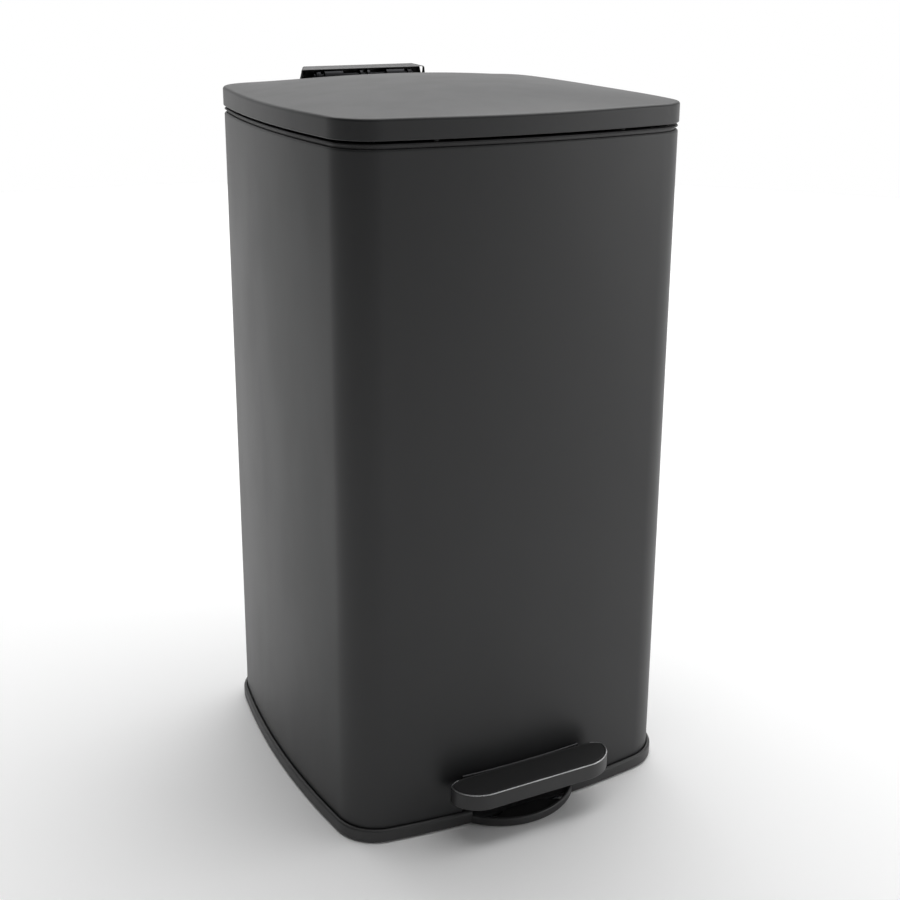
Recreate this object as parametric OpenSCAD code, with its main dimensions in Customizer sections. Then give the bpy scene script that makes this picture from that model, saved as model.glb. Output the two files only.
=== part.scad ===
// Pedal trash can: steel sleeve on a plastic base, hinged lid, foot pedal and lift-out bucket.
// Millimetres, +Z up. The floor is z = 0, the pedal points to -Y, the hinge is at +Y.

/* [Body] */
// Width of the body across the middle of its sides
body_w = 317.8; // [270:1:390]
// Depth of the body across the middle of its front and rear
body_d = 315.2; // [270:1:390]
// Height of the body sleeve's upper edge above the floor
body_top = 566.9; // [380:1:700]
// Radius of the body's vertical corners
corner_r = 36.5; // [25:0.5:45]
// How far the left and right sides bow out
side_bulge = 8.2; // [4:0.1:12]
// How far the front and rear bow out
front_bulge = 8.75; // [4:0.1:12]
// Thickness of the body and lid sheet
sheet_t = 0.8; // [0.5:0.1:1.2]

/* [Base] */
// Height of the base ring's outer wall
ring_h = 11.9; // [9:0.1:16]
// How far the base ring stands out past the body
ring_out = 3.4; // [2.5:0.1:5]
// Thickness of the base ring's floor, on which the sleeve stands
ring_floor = 4; // [3:0.1:5]
// How far the rubber feet stand below the base ring
foot_proud = 0.6; // [0.4:0.1:1.5]
// Height of the deck that carries the bucket
deck_z = 55; // [52:1:70]
// Thickness of the deck
deck_t = 3; // [2:0.5:4]
// Half width of the foot loop in front of the base ring
loop_half = 50; // [40:1:55]
// How far the foot loop reaches past the body's front
loop_reach = 23.4; // [16:0.1:26]
// Height of the foot loop
loop_h = 8; // [5:0.5:9]

/* [Pedal] */
// Width of the pedal pad
pad_w = 147; // [110:1:160]
// Depth of the pedal pad from its front edge to its rear edge
pad_d = 32; // [27:1:38]
// Height of the pad's tread above the floor
pad_top = 48.2; // [44:0.1:54]
// Height of the pad's side
pad_h = 14; // [10:0.5:18]
// Gap between the pad's rear edge and the body's front
pad_gap = 3; // [2.5:0.5:8]
// Width of the pad's neck, which enters the body
neck_w = 109; // [80:1:112]
// Height of the lever's pivot above the floor
pivot_z = 24; // [23:0.5:27]
// Distance of the lever's pivot in front of the body's centre
pivot_in = 38; // [20:1:60]
// Diameter of the lever's axle
axle_d = 8; // [6:0.5:9]
// Lever thickness
lever_t = 3; // [2:0.5:4]

/* [Lift] */
// Distance between the lift rod and the body's rear face
rod_in = 10.6; // [9.5:0.1:14]
// Diameter of the lift rod
rod_d = 5; // [4:0.5:6]
// Diameter of the cross pins that the lift rod works through
link_pin_d = 4; // [3:0.5:5]
// Length of the lid's crank, from the hinge axis to its cross pin
crank_l = 24; // [22:0.5:28]
// How far the lid opens, in degrees
lid_open = 75; // [60:1:80]

/* [Lid] */
// Gap between the rim and the lid's skirt
lid_gap = 2; // [1.5:0.1:3]
// Height of the lid's skirt
skirt_h = 15.2; // [14:0.1:20]
// Rise of the lid's crown above its skirt
crown_h = 12; // [6:0.5:18]
// How far the lid stands out past the body
lid_out = 0.7; // [0.4:0.1:1.5]
// Diameter of the hinge pin
hinge_d = 6; // [5:0.5:7]
// Half width of the hinge cover at its top
cover_half = 56; // [54:1:70]

/* [Bucket] */
// How far the bucket's rim lies below the body's upper edge
bucket_drop = 36.9; // [32:0.1:60]
// Wall of the bucket
bucket_t = 2; // [1.5:0.1:3]
// Space behind the bucket for the lift rod
rod_space = 21.6; // [20:0.5:30]
// Diameter of the bail's wire
bail_d = 4; // [3:0.5:5]

/* [Hidden] */
$fn = 48;
eps = 0.01;
fit = 0.08;          // radial running fit of pins, rods and the piston
gap = 0.4;           // clearance between neighbours that don't run on each other
side_steps = 6;      // points along each bowed side of an outline
corner_steps = 6;    // points round each corner of an outline
coat = "#3b3c3e";
plastic = "#2b2b2c";
steel = "#a9acb0";
dark_rubber = "#1c1c1d";
pale = "#8d9092";

// Where the outline's corner arcs are centred, and the large arcs of its bowed sides
core_x = body_w/2 - corner_r - side_bulge;
core_y = body_d/2 - corner_r - front_bulge;
function bow_r(half, bow) = (half*half + bow*bow)/(2*bow);

// Points of an arc, without its last one
function turn(cx, cy, r, from, to, n) =
    [for (i = [0:n-1]) let(a = from + (to - from)*i/n) [cx + r*cos(a), cy + r*sin(a)]];
// Rounded rectangle with bowed sides, tangent all round
function rounded(hw, hd, r, bx, by, sn, cn) =
    let(kx = hw - r - bx, ky = hd - r - by, rx = bow_r(ky, bx), ry = bow_r(kx, by),
        ax = asin(ky/rx), ay = asin(kx/ry))
    concat(turn(kx + bx - rx, 0, rx + r, -ax, ax, sn), turn(kx, ky, r, ax, 90 - ay, cn),
           turn(0, ky + by - ry, ry + r, 90 - ay, 90 + ay, sn), turn(-kx, ky, r, 90 + ay, 180 - ax, cn),
           turn(rx - kx - bx, 0, rx + r, 180 - ax, 180 + ax, sn),
           turn(-kx, -ky, r, 180 + ax, 270 - ay, cn),
           turn(0, ry - ky - by, ry + r, 270 - ay, 270 + ay, sn), turn(kx, -ky, r, 270 + ay, 360 - ax, cn));
// The body's outline, grown or shrunk by a distance
function outline(grow) = rounded(body_w/2 + grow, body_d/2 + grow, corner_r + grow,
                                 side_bulge, front_bulge, side_steps, corner_steps);
// Distance of the bowed front or rear from the centre, at a place across it
function front_y(x, grow) = let(r = bow_r(core_x, front_bulge))
    core_y + front_bulge - r + sqrt(pow(r + corner_r + grow, 2) - x*x);

// Heights
rim_groove = 1.6;
rim_bead = 2;
rim_top = body_top + rim_groove + rim_bead;
skirt_z = rim_top + lid_gap;
crown_z = skirt_z + skirt_h;
liner_z = skirt_z + 1.5;
liner_t = 2;
deck_under = deck_z - deck_t;
slot_top = pad_top - 2.2;

// Lift rod, crank and hinge
rod_y = body_d/2 - rod_in;
crank_a = lid_open/2;
hinge_y = rod_y + crank_l*cos(crank_a);
crank_z = liner_z + 1.4;
hinge_z = crank_z + crank_l*sin(crank_a);
rod_travel = 2*crank_l*sin(crank_a);
arm_l = rod_y + pivot_in;
pedal_swing = 2*asin(rod_travel/2/arm_l);
link_z = pivot_z - rod_travel/2;
crank_shift = crank_l*(1 - cos(crank_a));
link_shift = arm_l*(1 - cos(pedal_swing/2));

// Hinge and its cover
knuckle_r = hinge_d/2 + 2.5;
ear_x = 44;
ear_t = 2.5;
strap_in = 22;
strap_out = 40;
cover_t = 2.5;
cover_top = hinge_z + knuckle_r + 0.5 + cover_t;
cover_base = cover_half + 9;
cover_low = rim_top - 38;
cover_front = body_d/2 + lid_out + 2;
cover_back = hinge_y + knuckle_r + 4.4 + cover_t;

// The model is centred between the pedal's front edge and the hinge cover's back
pad_front = body_d/2 + pad_gap + pad_d;
body_y = (pad_front - cover_back)/2;
module placed() { translate([0, body_y, 0]) children(); }

// Prism of an outline, and a wall between two outlines
module prism(grow, z0, z1) { translate([0, 0, z0]) linear_extrude(z1 - z0) polygon(outline(grow)); }
module wall(outer, inner, z0, z1) {
    translate([0, 0, z0]) linear_extrude(z1 - z0)
        difference() { polygon(outline(outer)); polygon(outline(inner)); }
}
// Box between two corners
module block(low, high) { translate(low) cube(high - low); }
// Round bar along X or Y between two places
module bar_x(y, z, r, x0, x1) { translate([x0, y, z]) rotate([0, 90, 0]) cylinder(r = r, h = x1 - x0); }
module bar_y(x, z, r, y0, y1) { translate([x, y0, z]) rotate([-90, 0, 0]) cylinder(r = r, h = y1 - y0); }
// Side profile given as [y, z] points, with a thickness along X
module side_plate(points, x0, x1) {
    translate([x0, 0, 0]) rotate([90, 0, 90]) linear_extrude(x1 - x0) polygon(points);
}
// A piece and its mirror image on the other side
module both() { children(); mirror([1, 0, 0]) children(); }
// Screw with a domed head, its head's seat at the origin and its shank along -Z
module screw(d, length) {
    translate([0, 0, -length]) cylinder(d = d, h = length);
    intersection() {
        cylinder(d = 2*d, h = 0.6*d);
        translate([0, 0, -1.3*d]) sphere(r = 1.9*d);
    }
}

/* Body */
lip = 4;
rim_in = 6.5;
slot_half = neck_w/2 + 1.5;
module slot_cut(side) {
    block([-slot_half - side, -body_d, ring_floor + 3], [slot_half + side, -body_d/2 + 24, slot_top]);
}
module body_shell() placed() color(coat) difference() {
    union() {
        wall(0, -sheet_t, ring_floor, body_top);
        wall(0, -lip, body_top - sheet_t, body_top);
    }
    translate([0, 0, -ring_floor]) slot_cut(0);
    slot_cut(0);
    for (p = frame_holes) bar_y(p[0], p[1], screw_d/2, rod_y, body_d);
    for (p = cover_holes) bar_y(p[0], p[1], screw_d/2, rod_y, body_d);
    for (z = guide_z, s = [-1, 1]) bar_y(s*guide_x, z + 5, guide_screw/2, rod_y, body_d);
}
module rim_ring() placed() color(plastic) difference() {
    union() {
        wall(-lip - gap/4, -rim_in, body_top - 17, body_top);
        wall(-2.5, -rim_in, body_top, rim_top);
        wall(-0.2, -rim_in, body_top + rim_groove, rim_top);
    }
    block([-8, rod_y - 9, body_top - 20], [8, rod_y + 7.5, rim_top + 1]);
}

/* Base */
post_x = loop_half - 2;
loop_y = body_d/2 + loop_reach;
loop_r = bow_r(loop_half, loop_y - front_y(loop_half, ring_out) + 1);
loop_t = 2.6;
foot_at = [[core_x, core_y], [-core_x, core_y], [-core_x, -core_y], [core_x, -core_y]];
foot_shift = corner_r - 8;
foot_r = 5;
function foot_place(p) = p + foot_shift*[sign(p[0]), sign(p[1])]/sqrt(2);
module base_ring() placed() color(plastic) difference() {
    union() {
        wall(ring_out, gap, foot_proud, ring_h);
        wall(ring_out, -14, foot_proud, ring_floor);
        intersection() {
            translate([0, loop_r - loop_y, 0]) difference() {
                cylinder(r = loop_r, h = loop_h, $fn = 96);
                translate([0, 0, -1]) cylinder(r = loop_r - loop_t, h = loop_h + 2, $fn = 96);
            }
            block([-loop_half - 1, -loop_y - 1, foot_proud], [loop_half + 1, -front_y(post_x, 1), loop_h]);
        }
    }
    block([-post_x, -body_d, ring_floor], [post_x, -front_y(post_x, -3), ring_h + 1]);
    for (p = foot_at) translate(concat(foot_place(p), [-1])) cylinder(r = foot_r, h = foot_proud + 3);
    for (p = deck_holes) translate([p[0], p[1], -1]) {
        cylinder(d = screw_d, h = 10);
        cylinder(d = screw_d + 3, h = 1 + deck_head_z);
    }
}
web_rear = 0.3*loop_half;
web_front = 0.68*loop_half;
module foot_web() placed() color(dark_rubber) intersection() {
    translate([0, 0, foot_proud + 0.4]) linear_extrude(4.6)
        polygon([[-web_rear, -front_y(0, ring_out) - 0.1], [-web_front, -loop_y], [web_front, -loop_y],
                 [web_rear, -front_y(0, ring_out) - 0.1]]);
    translate([0, loop_r - loop_y, 0]) cylinder(r = loop_r - loop_t, h = loop_h, $fn = 96);
}
deck_head_z = foot_proud + 2.2;
deck_holes = [for (x = [-1, 1], y = [-1, 1]) [x*(core_x - 20), y*(front_y(core_x - 20, -9.5))]];
module base_deck() placed() color(plastic) difference() {
    union() {
        prism(-sheet_t - gap, deck_under, deck_z);
        wall(-sheet_t - gap, -sheet_t - gap - 2.5, ring_floor, deck_z);
        for (p = deck_holes) translate([p[0], p[1], ring_floor]) cylinder(r = 4, h = deck_z - ring_floor - 1);
    }
    translate([0, 0, -ring_floor]) slot_cut(3);
    slot_cut(3);
    block([-14, rod_y - 9.5, deck_under - 1], [14, rod_y + 7, deck_z + 1]);
    for (p = deck_holes) translate([p[0], p[1], -1]) cylinder(d = screw_d, h = 18);
    both() translate([block_x, pivot_y, 0]) {
        cylinder(d = screw_d, h = deck_z);
        translate([0, 0, sunk_z]) cylinder(d = 2*screw_d + gap, h = deck_t);
    }
}
module deck_screws() placed() color(steel) for (p = deck_holes)
    translate([p[0], p[1], deck_head_z]) mirror([0, 0, 1]) {
        translate([0, 0, -14]) cylinder(d = screw_d, h = 14);
        cylinder(d = screw_d + 3, h = 1.6);
    }
module rubber_feet() placed() color(dark_rubber) for (p = foot_at)
    translate(concat(foot_place(p), [0])) cylinder(r = foot_r, h = foot_proud + 2);
module slot_trim() placed() color(pale) difference() {
    intersection() {
        block([-slot_half + gap/2, -body_d, slot_top - 1.2], [slot_half - gap/2, 0, slot_top - 0.1]);
        wall(1, -sheet_t - gap, 0, body_top);
    }
}

/* Pedal lever and pad */
pivot_y = -pivot_in;
screw_d = 4;
block_in = 30;
block_out = 42;
block_x = (block_in + block_out)/2;
sunk_z = deck_z - 2.6;
cheek_in = 21;
cheek_out = 24;
pad_under = pad_top - pad_h;
pad_rear = body_d/2 + pad_gap;
pad_plate = pad_top - 7;
neck_in = body_d/2 - 18;
tongue = neck_w/2 - 4.5;
lever_low = pivot_z - axle_d/2 - 1 - lever_t;
module axle_blocks() placed() color(plastic) both() difference() {
    block([block_in, pivot_y - 11, pivot_z - 9], [block_out, pivot_y + 11, deck_under]);
    bar_x(pivot_y, pivot_z, axle_d/2 + fit, block_in - 1, block_out + 1);
    translate([block_x, pivot_y, sunk_z - 14]) cylinder(d = screw_d, h = 20);
}
module axle_block_screws() placed() color(steel) both()
    translate([block_x, pivot_y, sunk_z]) screw(screw_d, 14);
module pedal_axle() placed() color(steel) bar_x(pivot_y, pivot_z, axle_d/2, -block_out - 5, block_out + 5);
module axle_clips() placed() color(steel) both() difference() {
    bar_x(pivot_y, pivot_z, axle_d/2 + 3, block_out + 1, block_out + 2.2);
    bar_x(pivot_y, pivot_z, axle_d/2, block_out, block_out + 3);
}
// Web of the lever as [y, z] of its underside, from the pad to the lift rod
lever_line = [[-pad_front + 5, pad_plate - lever_t], [-neck_in + 12, pad_plate - lever_t],
              [-neck_in + 48, lever_low], [pivot_y + 16, lever_low], [rod_y - 12, link_z - lever_t/2]];
lever_up = [for (i = [len(lever_line)-1:-1:0]) lever_line[i] + [0, lever_t]];
tab_r = link_pin_d/2 + 2.6;
module pedal_lever() placed() color(steel) difference() {
    union() {
        intersection() {
            side_plate(concat(lever_line, lever_up), -60, 60);
            translate([0, 0, -1]) linear_extrude(pad_top) polygon(concat(
                [[-tongue, -pad_front], [tongue, -pad_front], [tongue, -neck_in + 10],
                 [cheek_out, -neck_in + 45], [cheek_out, pivot_y + 20], [9, rod_y - 40], [9, rod_y]],
                [[-9, rod_y], [-9, rod_y - 40], [-cheek_out, pivot_y + 20], [-cheek_out, -neck_in + 45],
                 [-tongue, -neck_in + 10]]));
        }
        both() {
            side_plate([[pivot_y - 30, lever_low], [pivot_y - 9, pivot_z + 3], [pivot_y + 9, pivot_z + 3],
                        [pivot_y + 16, lever_low]], cheek_in, cheek_out);
            bar_x(pivot_y, pivot_z, axle_d/2 + 4, cheek_in, cheek_out);
        }
        block([-1.5, rod_y - 30, link_z - lever_t/2], [1.5, rod_y + link_shift, link_z + tab_r]);
        bar_x(rod_y + link_shift, link_z, tab_r, -1.5, 1.5);
    }
    bar_x(pivot_y, pivot_z, axle_d/2 + fit, -60, 60);
    for (s = [-1, 1]) bar_x(rod_y + s*(link_shift + gap), link_z, link_pin_d/2 + gap, -3, 3);
    block([-3, rod_y - link_shift - gap, link_z - link_pin_d/2 - gap],
          [3, rod_y + link_shift + gap, link_z + link_pin_d/2 + gap]);
    for (p = rivet_at) translate([p[0], p[1], 0]) cylinder(d = screw_d, h = pad_top);
}
end_front = [28, 23];                        // half axes of the pad's rounded front corners
end_rear = [(pad_w - neck_w)/2, pad_d - end_front[1]];
// Points of a quarter ellipse, without its last one
function quarter(c, half, from, n) =
    [for (i = [0:n-1]) let(a = from + 90*i/n) c + [half[0]*cos(a), half[1]*sin(a)]];
// The pad's outline as [x, y] points, shrunk by a distance
function pad_outline(in) = let(y = -pad_front + end_front[1], f = end_front - [in, in], r = end_rear - [in, in])
    concat(quarter([pad_w/2 - end_front[0], y], f, 270, 8), quarter([pad_w/2 - end_rear[0], y], r, 0, 6),
           [[neck_w/2, y + r[1]]], quarter([end_rear[0] - pad_w/2, y], r, 90, 6),
           quarter([end_front[0] - pad_w/2, y], f, 180, 8), [[end_front[0] - pad_w/2, y - f[1]]]);
rivet_x = neck_w/2 - 20.5;
rivet_at = [[-rivet_x, -pad_front + 14], [rivet_x, -pad_front + 14]];
module pad_solid(in, z0, z1) { translate([0, 0, z0]) linear_extrude(z1 - z0) polygon(pad_outline(in)); }
tread_in = 2.6;
tread_t = 1.4;
module pedal_pad() placed() color(plastic) difference() {
    union() {
        pad_solid(0, pad_under, pad_top - 0.4);
        block([-neck_w/2, -pad_rear - 6, pad_plate + eps], [neck_w/2, -neck_in, slot_top - 2]);
        both() block([neck_w/2 - 3, -pad_rear - 6, pad_under + 3], [neck_w/2, -neck_in, slot_top - 2]);
    }
    translate([0, 0, -tread_t]) pad_solid(tread_in, pad_top, pad_top + 4);
    pad_solid(3, pad_under - 1, pad_plate);
    block([-neck_w/2 + 3, -pad_rear - 12, pad_under - 1], [neck_w/2 - 3, -neck_in + 1, pad_plate]);
    for (p = rivet_at) translate([p[0], p[1], 0]) cylinder(d = screw_d, h = pad_top + 1);
}
module pedal_tread() placed() color(dark_rubber) pad_solid(tread_in, pad_top - tread_t, pad_top);
module pedal_trim() placed() color(steel) difference() {
    pad_solid(0.6, pad_top - 0.4, pad_top);
    pad_solid(tread_in, pad_top - 3, pad_top + 3);
}
module pad_rivets() placed() color(steel) for (p = rivet_at) translate([p[0], p[1], 0]) {
    translate([0, 0, pad_plate - lever_t - 0.5]) cylinder(d = screw_d, h = pad_top - tread_t - pad_plate + lever_t + 0.5);
    translate([0, 0, pad_plate - lever_t - 2]) cylinder(d = 2*screw_d, h = 2);
}

/* Lift rod */
foot_top = link_z + 17;
head_low = crank_z - 20;
head_t = 1.5;
fork_in = 2.4;
fork_out = 4.9;
module lift_rod() placed() color(steel) translate([0, rod_y, foot_top - 8])
    cylinder(d = rod_d, h = head_low + 8 - foot_top + 8);
module rod_foot() placed() color(plastic) difference() {
    union() {
        both() block([fork_in, rod_y - 5, link_z - tab_r], [fork_out + 1.5, rod_y + 5, foot_top]);
        block([-fork_out, rod_y - 5, link_z + 8.5], [fork_out, rod_y + 5, foot_top]);
    }
    bar_x(rod_y, link_z, link_pin_d/2, -9, 9);
    translate([0, rod_y, foot_top - 8]) cylinder(d = rod_d, h = 20);
}
module rod_foot_pin() placed() color(steel) bar_x(rod_y, link_z, link_pin_d/2, -fork_out - 2.5, fork_out + 2.5);
slot_play = 0.75;      // room above and below the crank pin: its arc differs from a straight ratio
head_wall = 2.6;
module rod_head() placed() color(steel) difference() {
    union() {
        translate([0, rod_y, head_low]) cylinder(r = rod_d/2 + 1.8, h = 10);
        side_plate([[rod_y - rod_d/2, head_low + 9], [rod_y + rod_d/2, head_low + 9],
                    [rod_y + 4, crank_z - 3], [rod_y + 4, crank_z + 3], [rod_y - crank_shift - 4, crank_z + 3],
                    [rod_y - crank_shift - 4, crank_z - 3]], -head_t, head_t);
        bar_x(rod_y + gap, crank_z, link_pin_d/2 + slot_play + head_wall, -head_t, head_t);
        bar_x(rod_y - crank_shift - gap, crank_z, link_pin_d/2 + slot_play + head_wall, -head_t, head_t);
        block([-head_t, rod_y - crank_shift, crank_z - link_pin_d/2 - slot_play - head_wall],
              [head_t, rod_y, crank_z + link_pin_d/2 + slot_play + head_wall]);
    }
    translate([0, rod_y, head_low - 1]) cylinder(d = rod_d, h = 9);
    bar_x(rod_y + gap, crank_z, link_pin_d/2 + slot_play, -9, 9);
    bar_x(rod_y - crank_shift - gap, crank_z, link_pin_d/2 + slot_play, -9, 9);
    block([-9, rod_y - crank_shift - gap, crank_z - link_pin_d/2 - slot_play],
          [9, rod_y + gap, crank_z + link_pin_d/2 + slot_play]);
}
guide_x = 10;
guide_screw = 3;
guide_z = [deck_z + 0.4*(body_top - deck_z), deck_z + 0.8*(body_top - deck_z)];
module rod_guides() placed() color(plastic) for (z = guide_z) difference() {
    intersection() {
        block([-14, rod_y - 6, z], [14, body_d/2, z + 10]);
        prism(-sheet_t - 0.02, z, z + 10);
    }
    translate([0, rod_y, z - 1]) cylinder(r = rod_d/2 + fit, h = 12);
    for (s = [-1, 1]) {
        bar_y(s*guide_x, z + 5, guide_screw/2, rod_y - 7, body_d/2);
        block([s*guide_x - 4, rod_y - 7, z - 1], [s*guide_x + 4, rod_y + 1, z + 11]);
    }
}
module guide_screws() placed() color(steel) for (z = guide_z, s = [-1, 1])
    translate([s*guide_x, rod_y + 1, z + 5]) rotate([90, 0, 0]) screw(guide_screw, body_d/2 - rod_y - 1);

/* Soft-close damper beside the rod */
damper_x = 26;
damper_r = 6.5;
damper_low = deck_z + 8;
damper_top = damper_low + 75;
module damper_saddle() placed() color(plastic) difference() {
    block([damper_x - 10, rod_y - 8.5, deck_z], [damper_x + 10, rod_y + 6, damper_low + 8]);
    translate([damper_x, rod_y, damper_low]) cylinder(r = damper_r, h = 20);
}
module damper_cylinder() placed() color(steel) translate([damper_x, rod_y, damper_low]) difference() {
    cylinder(r = damper_r, h = damper_top - damper_low);
    translate([0, 0, 4]) cylinder(r = damper_r - 2, h = damper_top);
}
module damper_cap() placed() color(plastic) translate([damper_x, rod_y, damper_top]) difference() {
    union() {
        cylinder(r = damper_r, h = 2);
        translate([0, 0, -4]) cylinder(r = damper_r - 2, h = 5);
    }
    translate([0, 0, -5]) cylinder(r = 2 + fit, h = 10);
}
clamp_z = damper_top + 16;
module damper_piston() placed() color(steel) translate([damper_x, rod_y, 0]) {
    translate([0, 0, damper_low + 26]) cylinder(r = damper_r - 2 - fit, h = 6);
    translate([0, 0, damper_low + 30]) cylinder(r = 2, h = clamp_z + 8 - damper_low - 30);
}
module damper_clamp() placed() color(plastic) difference() {
    block([-6, rod_y - 5, clamp_z], [damper_x + 6, rod_y + 5, clamp_z + 8]);
    translate([0, rod_y, clamp_z - 1]) cylinder(d = rod_d, h = 10);
    translate([damper_x, rod_y, clamp_z - 1]) cylinder(r = 2, h = 9 + eps);
}

/* Hinge */
frame_y = body_d/2 + 0.4;
frame_t = 2;
frame_low = rim_top - 22;
frame_holes = [[-30, rim_top - 12], [30, rim_top - 12], [-14, rim_top - 12], [14, rim_top - 12]];
cover_hole_x = ear_x + ear_t + 9.5;
cover_holes = [[-cover_hole_x, rim_top - 12], [cover_hole_x, rim_top - 12]];
module hinge_frame() placed() color(steel) difference() {
    union() {
        block([-ear_x - ear_t, frame_y, frame_low], [ear_x + ear_t, frame_y + frame_t, rim_top - 1]);
        both() {
            block([ear_x, frame_y, frame_low], [ear_x + ear_t, hinge_y + 4, rim_top - 1]);
            block([ear_x, hinge_y - 5, rim_top - 2], [ear_x + ear_t, hinge_y + 5, hinge_z]);
            bar_x(hinge_y, hinge_z, 5, ear_x, ear_x + ear_t);
        }
    }
    bar_x(hinge_y, hinge_z, hinge_d/2, -60, 60);
    for (p = frame_holes) bar_y(p[0], p[1], screw_d/2, rod_y, body_d);
}
module hinge_screws() placed() color(steel) for (p = frame_holes)
    translate([p[0], frame_y + frame_t, p[1]]) rotate([-90, 0, 0]) screw(screw_d, 5);
module hinge_pin() placed() color(steel) bar_x(hinge_y, hinge_z, hinge_d/2, -ear_x - 6, ear_x + 6);
module hinge_pin_clips() placed() color(steel) both() difference() {
    bar_x(hinge_y, hinge_z, hinge_d/2 + 1.8, ear_x + ear_t + 0.3, ear_x + ear_t + 1.3);
    bar_x(hinge_y, hinge_z, hinge_d/2, ear_x, ear_x + 9);
}
// Hinge cover: splayed hood with its front open towards the lid; its inside is also the finger grip
cover_r = 3;
function cover_profile(in) =
    let(r = cover_r - min(in, cover_r - 0.5), top = cover_top - in, half = cover_half - in,
        base = cover_base - in)
    concat([[-base, cover_low], [base, cover_low], [base, rim_top - 4]],
           turn(half - r, top - r, r, 20, 90, 5), turn(-half + r, top - r, r, 90, 160, 5),
           [[-base, rim_top - 4]]);
module cover_prism(in, y0, y1, drop) {
    translate([0, y1, -drop]) rotate([90, 0, 0]) linear_extrude(y1 - y0) polygon(cover_profile(in));
}
module hinge_cover() placed() color(plastic) difference() {
    union() {
        difference() {
            cover_prism(0, cover_front, cover_back, 0);
            cover_prism(cover_t, cover_front - 1, cover_back - cover_t, 0);
            block([-cover_base + cover_t, cover_front - 1, cover_low - 1],
                  [cover_base - cover_t, cover_back - cover_t, cover_low + 30]);
        }
        both() {
            block([cover_base - cover_t, body_d/2 - 8, cover_low], [cover_base, cover_front + 1, rim_top - 4]);
            block([ear_x + ear_t + 3, body_d/2 - 8, rim_top - 18],
                  [cover_base, cover_front, rim_top - 6]);
        }
    }
    prism(eps, 0, rim_top);
    for (p = cover_holes) bar_y(p[0], p[1], screw_d/2, rod_y, cover_front + 1);
}
module cover_screws() placed() color(steel) for (p = cover_holes)
    translate([p[0], cover_front, p[1]]) rotate([-90, 0, 0]) screw(screw_d, 7);

/* Lid */
// The lid's crown: height above its edge at a place, highest at the centre
function crown(p, lift) = lift*(1 - pow(min(1, abs(p[0])/(body_w/2 + lid_out)), 2))
                              *(1 - pow(min(1, abs(p[1])/(body_d/2 + lid_out)), 3));
function ring_at(grow, share, z, lift) = [for (p = outline(grow)) let(q = share*p) concat(q, [z + crown(q, lift)])];
crown_rings = [0.2, 0.4, 0.6, 0.75, 0.88];
lid_rings = concat(
    [for (s = crown_rings) ring_at(lid_out - sheet_t, s, crown_z - sheet_t, crown_h)],
    [ring_at(lid_out - sheet_t, 1, crown_z - sheet_t, crown_h),
     ring_at(lid_out - sheet_t, 1, skirt_z, 0), ring_at(lid_out, 1, skirt_z, 0),
     ring_at(lid_out, 1, crown_z - 1.6, crown_h), ring_at(lid_out - 1.6, 1, crown_z, crown_h)],
    [for (i = [len(crown_rings)-1:-1:0]) ring_at(lid_out - 1.6, crown_rings[i], crown_z, crown_h)]);
// Closed solid from rings of equal length, its two ends closed with fans
module skin(rings, first, last) {
    n = len(rings[0]);
    m = len(rings);
    points = concat([for (r = rings) for (p = r) p], [first, last]);
    function at(i, j) = i*n + j % n;
    polyhedron(points, concat(
        [for (i = [0:m-2], j = [0:n-1]) [at(i, j), at(i+1, j), at(i+1, j+1)]],
        [for (i = [0:m-2], j = [0:n-1]) [at(i, j), at(i+1, j+1), at(i, j+1)]],
        [for (j = [0:n-1]) [m*n, at(0, j), at(0, j+1)]],
        [for (j = [0:n-1]) [m*n + 1, at(m-1, j+1), at(m-1, j)]]));
}
notch_x = 48;
module lid_shell() placed() color(coat) difference() {
    skin(lid_rings, [0, 0, crown_z - sheet_t + crown_h], [0, 0, crown_z + crown_h]);
    block([-notch_x, body_d/2 - 12, skirt_z - 1], [notch_x, body_d/2 + 9, crown_z - 3]);
}
module lid_liner() placed() color(plastic) difference() {
    union() {
        prism(lid_out - sheet_t - 0.1, liner_z, liner_z + liner_t);
        wall(lid_out - sheet_t - 0.1, lid_out - sheet_t - 2.1, liner_z, crown_z - 3);
        for (p = bracket_holes) translate([p[0], p[1], liner_z]) cylinder(r = 4, h = liner_t + 0.5);
    }
    block([-12, rod_y - 16, liner_z - 1], [12, body_d, crown_z]);
    block([-notch_x, hinge_y - 22, liner_z - 1], [notch_x, body_d, crown_z]);
    for (p = bracket_holes) translate([p[0], p[1], liner_z - 1]) cylinder(d = screw_d, h = 9);
}
strap_z = liner_z + liner_t + 0.5;
strap_t = 2;
plate_rear = rod_y - 16;
bracket_holes = [for (x = [-30, 30], y = [plate_rear - 22, plate_rear - 8]) [x, y]];
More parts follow.
